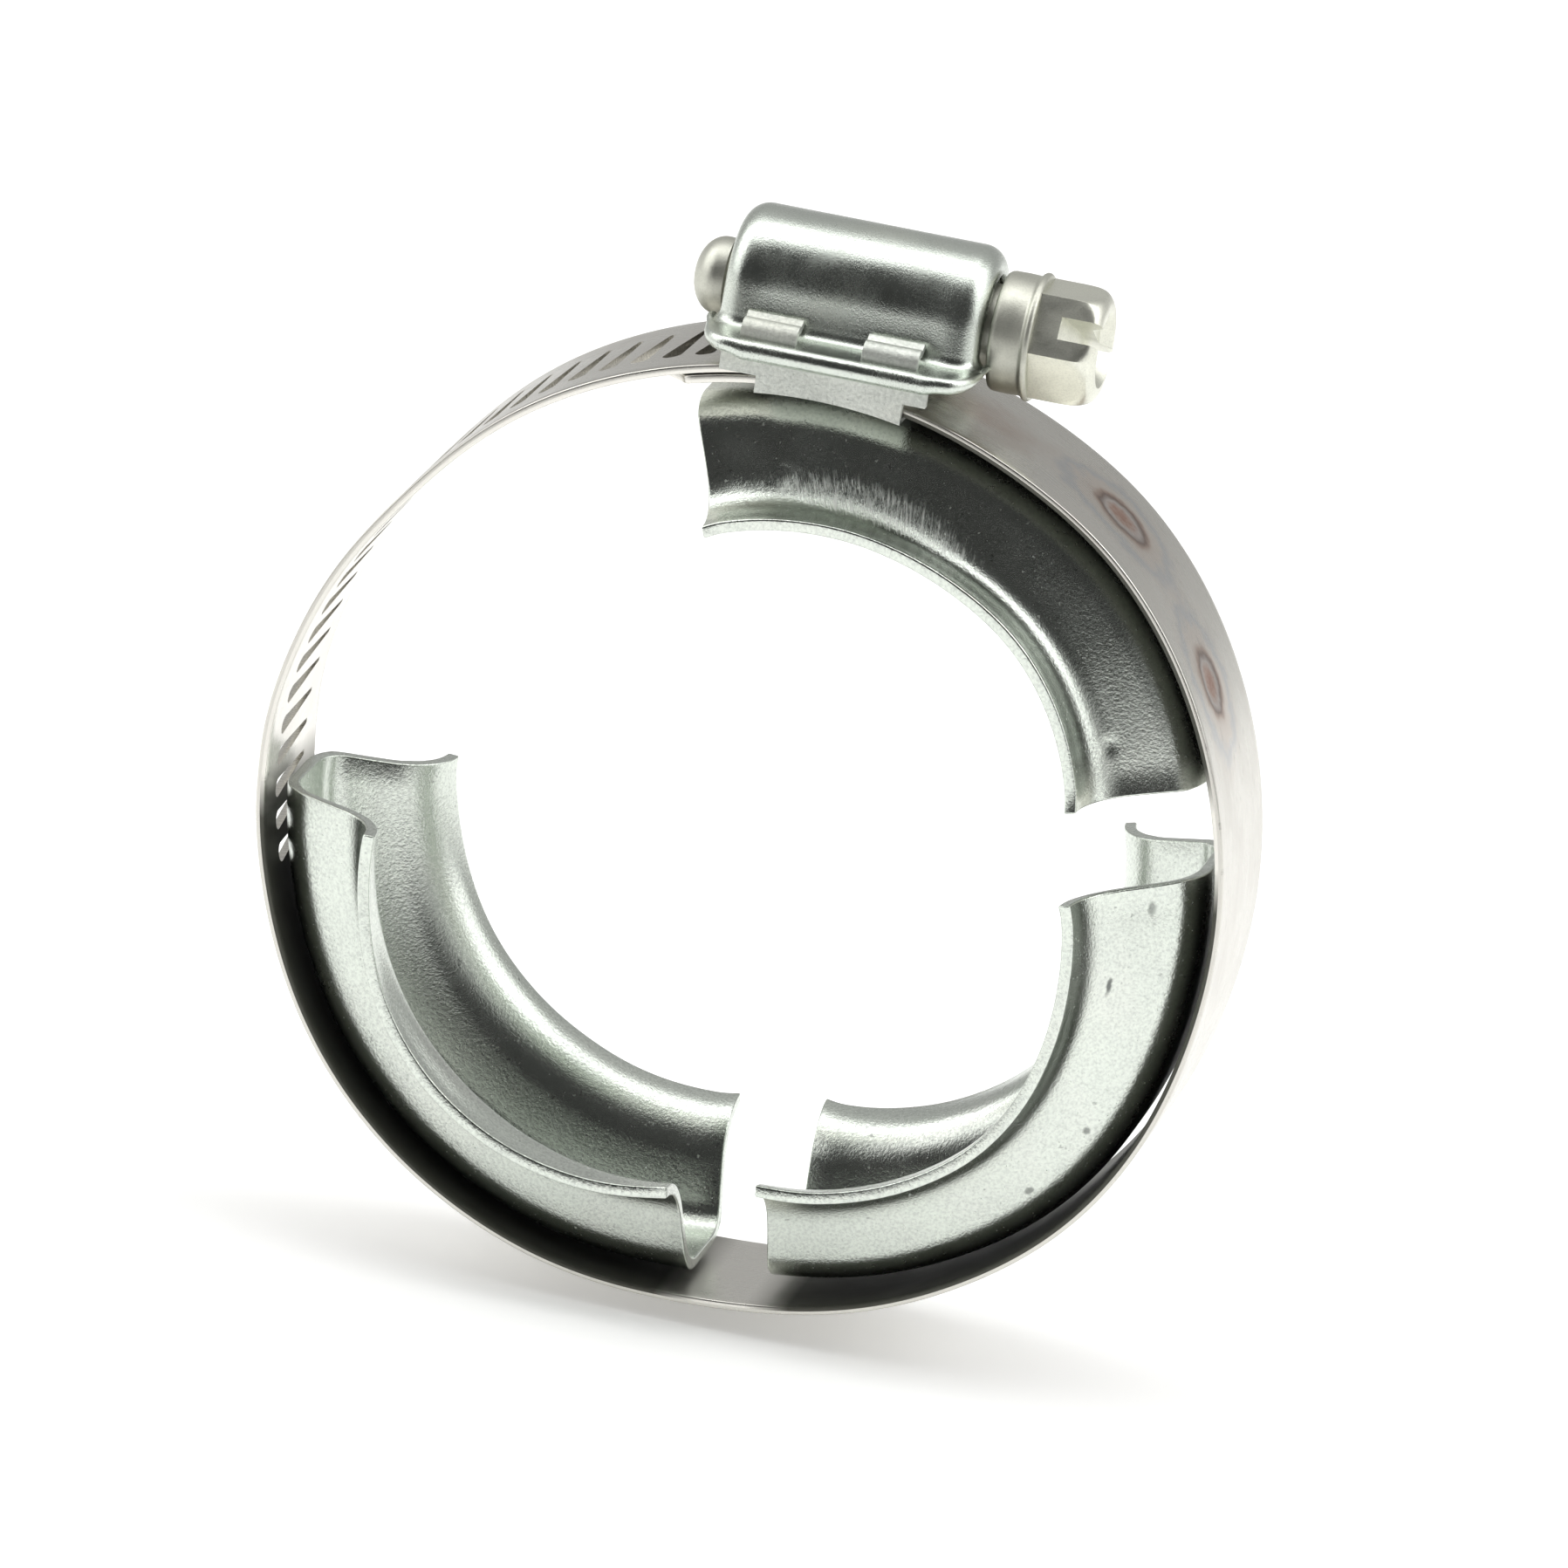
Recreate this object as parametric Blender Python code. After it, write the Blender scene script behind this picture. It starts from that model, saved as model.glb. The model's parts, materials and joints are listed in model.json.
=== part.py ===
"""Worm-drive band clamp with three V-section retainers, modelled at real size.

Frame: the ring's centre is the origin, the ring's axis is Y and the screw
housing is at the top (+Z).  The open face with the slot ends is towards -Y.
"""
import math

import bmesh
import bpy
from mathutils import Matrix, Vector

MM = 0.001

# ---- band -----------------------------------------------------------------
BAND_R = 36.30 * MM            # outer radius of the ring
BAND_T = 0.64 * MM             # strip thickness
BAND_W = 14.30 * MM            # strip width
SLOT_PITCH = 2.50 * MM         # pitch of the slots and of the worm thread
SLOT_FRONT_R = 0.72 * MM       # wide end of each slot
SLOT_REAR_R = 0.22 * MM        # pointed end of each slot
SLOT_HALF = 3.90 * MM          # half length of a slot across the strip
SLOT_LEAN = 0.90 * MM          # how far the rear end leads the front end
HINGE_1 = 11.8                 # flex points of the ring, degrees from +X
HINGE_2 = 275.7
HINGE_3 = 180.0
HINGE_GAP = 0.30 * MM
TAIL_R = 37.50 * MM            # the slotted stretch is a little flatter
TAIL_DX = 1.17 * MM            # and its centre is offset
TAIL_DZ = -0.75 * MM
TAIL_END = 81.7                # free end of the slotted stretch
LAYER_GAP = 0.12 * MM          # clearance between the two strip layers
TONGUE_END = 108.3             # end of the fixed stretch under the tail
TONGUE_TAPER = 4.2             # degrees over which the tongue narrows
# the ring bows out over each retainer and is flatter between them:
# (ring angle, height in mm, spread in degrees)
RING_BOWS = ((46.0, 0.50, 24.0), (-38.3, 0.72, 20.0), (219.7, 0.50, 24.0),
             (272.7, -0.70, 16.0), (184.7, 0.22, 12.0))
BOW_FADE = (46.0, 28.0)        # the bow fades out over this stretch, before the housing
TAIL_BOWS = ((175.7, 0.28, 10.0), (142.7, -0.42, 12.0))

# ---- retainers ------------------------------------------------------------
RET_GAP = 0.25 * MM            # clearance between strip and retainer base
RET_T = 0.90 * MM
RET_BASE_HALF = 2.40 * MM      # flat part of the base
RET_CORNER = 3.00 * MM         # middle radius of the base corners
RET_FLANK = 20.0               # flank lean from the radial plane, degrees
RET_BEND_R = 30.00 * MM        # ring radius where the flank starts to turn outwards
RET_BEND = 4.60 * MM           # middle radius of that wide bend
RET_LIP_SLOPE = 8.0            # the lip's own lean, degrees
RET_LIP_R = 26.90 * MM         # ring radius of the lip's edge
RET_LIP_Y = 11.00 * MM
RET_SHRINK = 2.6               # the lip ends this many degrees short
RET_TILT = 1.20 * MM           # retainer 1 leaves the strip by this at most
RET_PIVOT = 24.7               # where it still lies against the strip, degrees
# name, first and last ring angle, how far (mm) the front lip opens at its middle
# and ends, then the back lip, and how far the middle and ends stand off the strip
RETAINERS = (("retainer_1", 18.3, 104.0, (1.3, 0.0, 0.5, 0.0), (0.0, 0.7)),
             ("retainer_2", -79.1, 6.9, (0.6, -0.5, 0.7, -0.4), (0.3, 0.9)),
             ("retainer_3", 184.9, 270.5, (1.9, 0.1, -0.3, -0.4), (0.0, 0.4)))

# ---- housing and screw ----------------------------------------------------
HX = 2.20 * MM                 # middle of the saddle along X
AXIS_Z = 40.59 * MM            # screw axis height
COVER_Z = 40.89 * MM           # middle of the dome's arc
COVER_X = HX + 0.20 * MM       # middle of the cover along X
COVER_HALF = 9.70 * MM
COVER_R = 5.65 * MM
COVER_T = 0.70 * MM
COVER_ROUND = 1.50 * MM
COVER_HOLE = 3.75 * MM
FLANGE_TOP = 38.80 * MM
FLANGE_OUT = 8.95 * MM
BEAD_R = 0.78 * MM
BEAD_DROP = 0.45 * MM          # bead's middle below the middle of the flange
TAB_MID = HX - 0.45 * MM       # middle between the two tabs of a side
TAB_X = 4.55 * MM
TAB_HALF = 2.10 * MM
WALL_IN = 7.40 * MM
WALL_T = 0.60 * MM
FLOOR_T = 0.40 * MM
WORM_R = 4.12 * MM
CORE_R = 3.30 * MM
WORM_HALF = 7.10 * MM
HEX_AF = 7.94 * MM
HEAD_LENGTH = 5.10 * MM        # hex head beyond its collar
SLOT_TURN = 30.0               # the driver slot falls this much towards the back


def clear_scene():
    for obj in list(bpy.data.objects):
        bpy.data.objects.remove(obj, do_unlink=True)


def make_material(name, colour, roughness, metallic=1.0):
    mat = bpy.data.materials.new(name)
    mat.use_nodes = True
    bsdf = mat.node_tree.nodes["Principled BSDF"]
    bsdf.inputs["Base Color"].default_value = (*colour, 1.0)
    bsdf.inputs["Roughness"].default_value = roughness
    bsdf.inputs["Metallic"].default_value = metallic
    return mat


def add_object(name, bm, mat=None, pivot=None, smooth=35.0):
    bmesh.ops.recalc_face_normals(bm, faces=bm.faces)
    mesh = bpy.data.meshes.new(name)
    if pivot is not None:
        bmesh.ops.translate(bm, verts=bm.verts, vec=-pivot)
    bm.to_mesh(mesh)
    bm.free()
    obj = bpy.data.objects.new(name, mesh)
    bpy.context.scene.collection.objects.link(obj)
    if pivot is not None:
        obj.location = pivot
    if mat is not None:
        mesh.materials.append(mat)
    mesh.shade_smooth()
    mesh.set_sharp_from_angle(angle=math.radians(smooth))
    return obj


def as_cutter(obj):
    obj.hide_render = True
    obj.display_type = "WIRE"
    return obj


def boolean(obj, other, operation):
    mod = obj.modifiers.new(operation.lower(), "BOOLEAN")
    mod.operation = operation
    mod.object = other
    mod.solver = "EXACT"


def polar(centre, radius, angle, y=0.0):
    return Vector((centre.x + radius * math.cos(angle), y,
                   centre.z + radius * math.sin(angle)))


def loft(bm, rings):
    """Skin rings of equal length; caps close the two ends with one face."""
    rows = [[bm.verts.new(point) for point in ring] for ring in rings]
    count = len(rows[0])
    for row, after in zip(rows, rows[1:]):
        for j in range(count):
            k = (j + 1) % count
            bm.faces.new((row[j], row[k], after[k], after[j]))
    bm.faces.new(rows[0])
    bm.faces.new(rows[-1])


def prism(bm, outline, axis, low, high):
    """Extrude a closed outline along X or Y between two planes."""
    def place(point, value):
        a, b = point
        return Vector((value, a, b)) if axis == "X" else Vector((a, value, b))
    loft(bm, [[place(p, low) for p in outline], [place(p, high) for p in outline]])


def box(bm, x0, x1, y0, y1, z0, z1):
    prism(bm, ((y0, z0), (y1, z0), (y1, z1), (y0, z1)), "X", x0, x1)


def turned(bm, profile, centre_z, steps, phase=0.0):
    """Spin (x, radius) pairs about the screw axis."""
    rings = []
    for x, radius in profile:
        ring = []
        for i in range(steps):
            a = phase + 2.0 * math.pi * i / steps
            ring.append(Vector((x, radius * math.cos(a), centre_z + radius * math.sin(a))))
        rings.append(ring)
    loft(bm, rings)


# ---- centres of the arcs --------------------------------------------------
ORIGIN = Vector((0.0, 0.0, 0.0))
TAIL_C = Vector((TAIL_DX, 0.0, TAIL_DZ))
LANE_R = TAIL_R - BAND_T - LAYER_GAP
_pivot = math.radians(RET_PIVOT)
RET1_C = Vector((RET_TILT * math.sin(_pivot), 0.0, -RET_TILT * math.cos(_pivot)))


def smooth_step(x):
    x = max(0.0, min(1.0, x))
    return x * x * (3.0 - 2.0 * x)


def bows(lumps, deg):
    """Sum of smooth lumps along an arc, in metres."""
    total = 0.0
    for at, height, spread in lumps:
        away = (deg - at + 180.0) % 360.0 - 180.0
        total += height * MM * math.exp(-(away / spread) ** 2)
    return total


def ring_bow(deg):
    """How far the ring lies outside its mean circle at a ring angle."""
    wrapped = deg % 360.0
    fade = 0.0
    if wrapped < 180.0:
        fade = smooth_step((wrapped - BOW_FADE[0]) / BOW_FADE[1])
    return bows(RING_BOWS, deg) * (1.0 - fade)


def ring_radius(deg):
    return BAND_R + ring_bow(deg)


def tail_radius(deg):
    return TAIL_R + bows(TAIL_BOWS, deg)


def hinge_point(angle):
    return polar(ORIGIN, ring_radius(angle) - BAND_T / 2.0, math.radians(angle))


def fixed_radius(deg):
    """Ring radius of the fixed stretch, which dips under the slotted one."""
    if deg < BOW_FADE[0]:
        return ring_radius(deg)
    a = math.radians(deg)
    lane = LANE_R + TAIL_C.x * math.cos(a) + TAIL_C.z * math.sin(a)
    soft = 0.05 * MM
    radius = ring_radius(deg)
    dip = smooth_step((deg - BOW_FADE[0]) / BOW_FADE[1])
    return radius - dip * soft * math.log(math.exp((radius - lane) / soft) + 1.0)


def strip(bm, centre, radius, start, end, steps, width=lambda a: BAND_W / 2.0):
    """Curved strip between two angles in degrees about a centre."""
    rings = []
    for i in range(steps + 1):
        deg = start + (end - start) * i / steps
        a = math.radians(deg)
        half = width(deg)
        outer = radius(deg)
        rings.append([polar(centre, outer, a, -half), polar(centre, outer, a, half),
                      polar(centre, outer - BAND_T, a, half),
                      polar(centre, outer - BAND_T, a, -half)])
    loft(bm, rings)


def slot_outline(points=6):
    """Teardrop in (along, across): wide round front end, narrow rear end."""
    outline = []
    y0, y1 = -SLOT_HALF + SLOT_FRONT_R, SLOT_HALF - SLOT_REAR_R
    for i in range(points):
        a = math.pi + math.pi * i / (points - 1)
        outline.append((SLOT_FRONT_R * math.cos(a), y0 + SLOT_FRONT_R * math.sin(a)))
    for i in range(points - 2):
        a = math.pi * i / (points - 3)
        outline.append((SLOT_REAR_R * math.cos(a), y1 + SLOT_REAR_R * math.sin(a)))
    lean = SLOT_LEAN / (2.0 * SLOT_HALF)
    return [(u + lean * y, y) for u, y in outline]


def slot_cutters(centre, radius, angles):
    """Radial teardrop punches; along is measured towards smaller angles."""
    bm = bmesh.new()
    outline = slot_outline()
    for deg in angles:
        rings = []
        for depth in (-2.0 * MM, 1.2 * MM):
            ring = []
            for u, y in outline:
                a = math.radians(deg) - u / radius
                ring.append(polar(centre, radius + depth, a, y))
            rings.append(ring)
        loft(bm, rings)
    return bm


SLOT_STEP = math.degrees(SLOT_PITCH / TAIL_R)
SLOT_ZERO = 107.8              # slot just outside the housing, about TAIL_C


def angle_on(centre, ring_angle):
    """Direction, about another centre, of a point on the ring."""
    p = hinge_point(ring_angle) - centre
    return math.degrees(math.atan2(p.z, p.x)) % 360.0


def make_band(steel):
    gap = math.degrees(HINGE_GAP / 2.0 / BAND_R)
    # fixed stretch: from the first flex point to the tongue under the tail
    taper = TONGUE_END - TONGUE_TAPER

    def tongue_width(deg):
        past = max(0.0, deg - taper) / TONGUE_TAPER
        return BAND_W / 2.0 - past * 4.0 * MM

    bm = bmesh.new()
    strip(bm, ORIGIN, fixed_radius, HINGE_1 + gap, TONGUE_END, 48, tongue_width)
    add_object("band_fixed_stretch", bm, steel)

    bm = bmesh.new()
    strip(bm, ORIGIN, ring_radius, HINGE_2 - 360.0 + gap, HINGE_1 - gap, 34)
    add_object("band_lower_stretch", bm, steel, hinge_point(HINGE_1))

    # left stretch, with the last slots behind retainer 3
    bm = bmesh.new()
    strip(bm, ORIGIN, ring_radius, HINGE_3 + gap, HINGE_2 - gap, 34)
    left = add_object("band_left_stretch", bm, steel, hinge_point(HINGE_2))
    tail_hinge = angle_on(TAIL_C, HINGE_3)
    step_ring = math.degrees(SLOT_PITCH / BAND_R)
    after = SLOT_ZERO + 19 * SLOT_STEP - tail_hinge
    rest = [HINGE_3 + after + i * step_ring for i in range(4)]
    cut = as_cutter(add_object("cut_left_slots", slot_cutters(ORIGIN, BAND_R, rest)))
    boolean(left, cut, "DIFFERENCE")

    # slotted stretch that the worm pulls through the housing
    bm = bmesh.new()
    strip(bm, TAIL_C, tail_radius, TAIL_END, tail_hinge - gap, 36)
    tail = add_object("band_slotted_tail", bm, steel, hinge_point(HINGE_3))
    slots = [SLOT_ZERO + i * SLOT_STEP for i in range(-6, 19)]
    cut = as_cutter(add_object("cut_tail_slots", slot_cutters(TAIL_C, TAIL_R, slots)))
    boolean(tail, cut, "DIFFERENCE")


def arc_points(cx, cy, radius, start, end, count):
    pts = []
    for i in range(count):
        a = math.radians(start + (end - start) * i / (count - 1))
        pts.append((cx + radius * math.cos(a), cy + radius * math.sin(a)))
    return pts


def retainer_midline():
    """Half profile as (y, ring radius), from the base's middle to the lip."""
    top = BAND_R - BAND_T - RET_GAP - RET_T / 2.0
    lean = math.radians(RET_FLANK)
    pts = [(0.0, top), (RET_BASE_HALF, top)]
    corner = arc_points(RET_BASE_HALF, top - RET_CORNER, RET_CORNER, 90.0, RET_FLANK, 4)
    pts += corner[1:]
    # wide bend between the flank and the lip
    fy, fr = corner[-1]
    bend_y = fy + (fr - RET_BEND_R) * math.tan(lean)
    cy = bend_y + RET_BEND * math.cos(lean)
    cr = RET_BEND_R + RET_BEND * math.sin(lean)
    pts += arc_points(cy, cr, RET_BEND, 180.0 + RET_FLANK, 270.0 - RET_LIP_SLOPE, 5)
    pts.append((RET_LIP_Y, RET_LIP_R))
    return pts


def offset_profile(mid, distance):
    out = []
    for i, (y, r) in enumerate(mid):
        a = mid[max(i - 1, 0)]
        b = mid[min(i + 1, len(mid) - 1)]
        dy, dr = b[0] - a[0], b[1] - a[1]
        length = math.hypot(dy, dr)
        out.append((y - dr / length * distance, r + dy / length * distance))
    return out


def lip_flare(lips, y, t):
    """Radial shift of the bend and lip; more at the middle than at the ends."""
    middle, end = (lips[0], lips[1]) if y < 0.0 else (lips[2], lips[3])
    share = smooth_step((abs(y) - 6.2 * MM) / (RET_LIP_Y - 6.2 * MM))
    return share * (end + (middle - end) * math.sin(math.pi * t)) * MM


def make_retainer(name, start, end, lips, stand_off, centre, mat, pivot=None):
    half = retainer_midline()
    mid = [(-y, r) for y, r in reversed(half[1:])] + half
    outer = offset_profile(mid, RET_T / 2.0)
    inner = offset_profile(mid, -RET_T / 2.0)
    top = BAND_R - BAND_T - RET_GAP
    span = top - RET_LIP_R
    steps = 20
    bm = bmesh.new()
    rows = []
    for i in range(steps + 1):
        t = i / steps
        middle, end_gap = stand_off
        away = (middle + (end_gap - middle) * (2.0 * t - 1.0) ** 2) * MM
        sides = []
        for side in (outer, inner):
            row = []
            for y, r in side:
                short = RET_SHRINK * max(0.0, min(1.0, (top - RET_T - r) / span))
                deg = start + short + (end - start - 2.0 * short) * t
                shift = ring_bow(deg) + lip_flare(lips, y, t) - away
                row.append(bm.verts.new(polar(centre, r + shift, math.radians(deg), y)))
            sides.append(row)
        rows.append(sides)
    count = len(mid)
    for i in range(steps):
        (o0, n0), (o1, n1) = rows[i], rows[i + 1]
        for j in range(count - 1):
            bm.faces.new((o0[j], o0[j + 1], o1[j + 1], o1[j]))
            bm.faces.new((n0[j + 1], n0[j], n1[j], n1[j + 1]))
        for j in (0, count - 1):
            bm.faces.new((o0[j], o1[j], n1[j], n0[j]))
    for o, n in (rows[0], rows[-1]):
        for j in range(count - 1):
            bm.faces.new((o[j], o[j + 1], n[j + 1], n[j]))
    return add_object(name, bm, mat, pivot)


def hood_rings(extra, x_half, corner, z_low):
    """Stations of the dome along X, with rounded shoulders at both ends."""
    radius = COVER_R - extra
    stations = []
    for i in range(5):
        a = math.radians(90.0 * i / 4)
        stations.append((x_half - corner + corner * math.cos(a),
                         radius - corner + corner * math.sin(a)))
    full = [(-x, r) for x, r in stations] + [(x, r) for x, r in reversed(stations)]
    rings = []
    for x, r in full:
        ring = [Vector((COVER_X + x, -r, z_low))]
        for i in range(21):
            a = math.pi - math.pi * i / 20
            ring.append(Vector((COVER_X + x, r * math.cos(a), COVER_Z + r * math.sin(a))))
        ring.append(Vector((COVER_X + x, r, z_low)))
        rings.append(ring)
    return rings


def make_cover(mat):
    low = FLANGE_TOP - COVER_T
    bm = bmesh.new()
    loft(bm, hood_rings(0.0, COVER_HALF, COVER_ROUND, low + 0.05 * MM))
    cover = add_object("cover_housing", bm, mat, smooth=40.0)

    # flanges with a rolled bead along each outer edge
    bm = bmesh.new()
    for side in (-1, 1):
        outline = [(side * 3.0 * MM, low), (side * FLANGE_OUT, low + 0.02 * MM)]
        outline += [(side * FLANGE_OUT, FLANGE_TOP - 0.02 * MM), (side * 6.15 * MM, FLANGE_TOP)]
        outline += [(side * 5.62 * MM, FLANGE_TOP + 0.22 * MM)]
        outline += [(side * 5.40 * MM, FLANGE_TOP + 0.75 * MM), (side * 3.0 * MM, FLANGE_TOP + 0.75 * MM)]
        prism(bm, outline, "X", COVER_X - COVER_HALF + 0.3 * MM, COVER_X + COVER_HALF - 0.3 * MM)
    flange = as_cutter(add_object("add_flanges", bm))
    boolean(cover, flange, "UNION")
    bm = bmesh.new()
    for side in (-1, 1):
        y = side * (FLANGE_OUT + 0.05 * MM)
        z = FLANGE_TOP - COVER_T / 2.0 - BEAD_DROP
        ends = ((-COVER_HALF - 0.35 * MM, 0.30), (-COVER_HALF, 0.85), (-COVER_HALF + 0.6 * MM, 1.0),
                (COVER_HALF - 0.6 * MM, 1.0), (COVER_HALF, 0.85), (COVER_HALF + 0.35 * MM, 0.30))
        rings = []
        for x, scale in ends:
            ring = []
            for i in range(12):
                a = 2.0 * math.pi * i / 12
                r = BEAD_R * scale
                ring.append(Vector((COVER_X + x, y + r * math.cos(a), z + r * math.sin(a))))
            rings.append(ring)
        loft(bm, rings)
    bead = as_cutter(add_object("add_beads", bm))
    boolean(cover, bead, "UNION")

    # inside of the dome, open towards the band
    bm = bmesh.new()
    loft(bm, hood_rings(COVER_T, COVER_HALF - COVER_T, COVER_ROUND - COVER_T,
                        low - 1.0 * MM))
    inside = as_cutter(add_object("cut_inside", bm))
    boolean(cover, inside, "DIFFERENCE")
    bm = bmesh.new()
    reach = COVER_HALF + 1.0 * MM
    turned(bm, ((COVER_X - reach, COVER_HOLE), (COVER_X + reach, COVER_HOLE)), AXIS_Z, 40)
    bore = as_cutter(add_object("cut_screw_holes", bm))
    boolean(cover, bore, "DIFFERENCE")
    bm = bmesh.new()
    for sx in (-1, 1):
        for sy in (-1, 1):
            x = TAB_MID + sx * TAB_X
            y0, y1 = sorted((sy * (WALL_IN - 0.2 * MM), sy * (WALL_IN + WALL_T + 0.2 * MM)))
            box(bm, x - TAB_HALF - 0.2 * MM, x + TAB_HALF + 0.2 * MM, y0, y1,
                low - 1.0 * MM, FLANGE_TOP + 0.6 * MM)
    windows = as_cutter(add_object("cut_tab_windows", bm))
    boolean(cover, windows, "DIFFERENCE")
    return cover


def make_saddle(mat):
    """Bottom plate under the band, two side walls and four folded tabs."""
    top = LANE_R - BAND_T - 0.06 * MM
    floor = top - FLOOR_T
    half = 5.5 * MM
    y_out = WALL_IN + WALL_T

    def height(radius, x):
        return TAIL_C.z + math.sqrt(radius * radius - (x - TAIL_C.x) ** 2)

    steps = 10
    xs = [HX - half + 2.0 * half * i / steps for i in range(steps + 1)]
    outline = [(x, height(top, x)) for x in xs] + [(x, height(floor, x)) for x in reversed(xs)]
    bm = bmesh.new()
    prism(bm, outline, "Y", -y_out + 0.1 * MM, y_out - 0.1 * MM)
    saddle = add_object("saddle", bm, mat)

    # side walls: lower edge stepped, upper edge just under the cover flange
    bm = bmesh.new()
    left, right = 8.3 * MM, 7.2 * MM
    z_step = 35.95 * MM
    z_top = FLANGE_TOP - COVER_T - 0.12 * MM
    wall = [(x, height(floor, x)) for x in xs]
    wall += [(HX + half, z_step), (HX + right, z_step), (HX + right, z_top)]
    wall += [(HX - left, z_top), (HX - left, z_step), (HX - half, z_step)]
    for side in (-1, 1):
        y0, y1 = sorted((side * WALL_IN, side * y_out))
        prism(bm, wall, "Y", y0, y1)
    walls = as_cutter(add_object("add_walls", bm))
    boolean(saddle, walls, "UNION")

    # tabs rise through the flange and fold in against the dome
    bm = bmesh.new()
    for side in (-1, 1):
        leaf = [(WALL_IN, z_top - 0.5 * MM), (y_out, z_top - 0.5 * MM),
                (y_out, FLANGE_TOP + 0.55 * MM), (y_out - 0.35 * MM, FLANGE_TOP + 0.85 * MM),
                (6.15 * MM, FLANGE_TOP + 1.55 * MM), (5.85 * MM, FLANGE_TOP + 1.15 * MM),
                (WALL_IN, FLANGE_TOP + 0.35 * MM)]
        leaf = [(side * y, z) for y, z in leaf]
        for sx in (-1, 1):
            x = TAB_MID + sx * TAB_X
            prism(bm, leaf, "X", x - TAB_HALF, x + TAB_HALF)
    tabs = as_cutter(add_object("add_tabs", bm))
    boolean(saddle, tabs, "UNION")
    return saddle


def worm_ridge():
    """Helical ridge, tapering into the core at both ends."""
    per_turn = 20
    turns = 2.0 * WORM_HALF / SLOT_PITCH
    count = int(per_turn * turns)
    bm = bmesh.new()
    rings = []
    for i in range(count + 1):
        t = i / count
        x = HX + WORM_HALF * (2.0 * t - 1.0)
        a = -math.pi / 2.0 + (x - thread_phase()) / SLOT_PITCH * 2.0 * math.pi
        grow = min(1.0, t * turns * 2.0, (1.0 - t) * turns * 2.0)
        crest = CORE_R - 0.25 * MM + (WORM_R - CORE_R + 0.25 * MM) * grow
        ring = []
        for dx, r in ((-0.62 * MM, CORE_R - 0.5 * MM), (-0.22 * MM, crest),
                      (0.22 * MM, crest), (0.62 * MM, CORE_R - 0.5 * MM)):
            ring.append(Vector((x + dx, r * math.cos(a), AXIS_Z + r * math.sin(a))))
        rings.append(ring)
    loft(bm, rings)
    return bm


def thread_phase():
    """X of the slot nearest the middle; a crest sits in it at the bottom."""
    index = round((90.0 - SLOT_ZERO) / SLOT_STEP)
    a = math.radians(SLOT_ZERO + index * SLOT_STEP)
    return TAIL_C.x + TAIL_R * math.cos(a)


def hex_ring(x, limit):
    """Hexagon across the screw axis, its corners trimmed to a radius."""
    ring = []
    for i in range(36):
        a = math.radians(10.0 * i)
        off = math.radians((10.0 * i) % 60.0 - 30.0)
        r = min(HEX_AF / 2.0 / math.cos(off), limit)
        ring.append(Vector((x, r * math.cos(a), AXIS_Z + r * math.sin(a))))
    return ring


def leaning_prism(outline, low, high):
    """Prism over an (x, y) outline, leaning with the driver slot."""
    bm = bmesh.new()
    loft(bm, [[Vector((x, y, z)) for x, y in outline] for z in (low, high)])
    lean = Matrix.Rotation(math.radians(-SLOT_TURN), 4, "X")
    bmesh.ops.transform(bm, matrix=Matrix.Translation((0.0, 0.0, AXIS_Z)) @ lean, verts=bm.verts)
    return bm


def slot_cutter(end):
    """Driver slot across the head, along the normal of the front flat."""
    far = 7.0 * MM
    deep, deeper = end - 2.0 * MM, end - 3.0 * MM
    outline = ((end + MM, -far), (end + MM, far), (deep, far), (deep, -0.8 * MM),
               (deeper, -4.2 * MM), (deeper, -far))
    return leaning_prism(outline, -0.85 * MM, 0.85 * MM)


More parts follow.
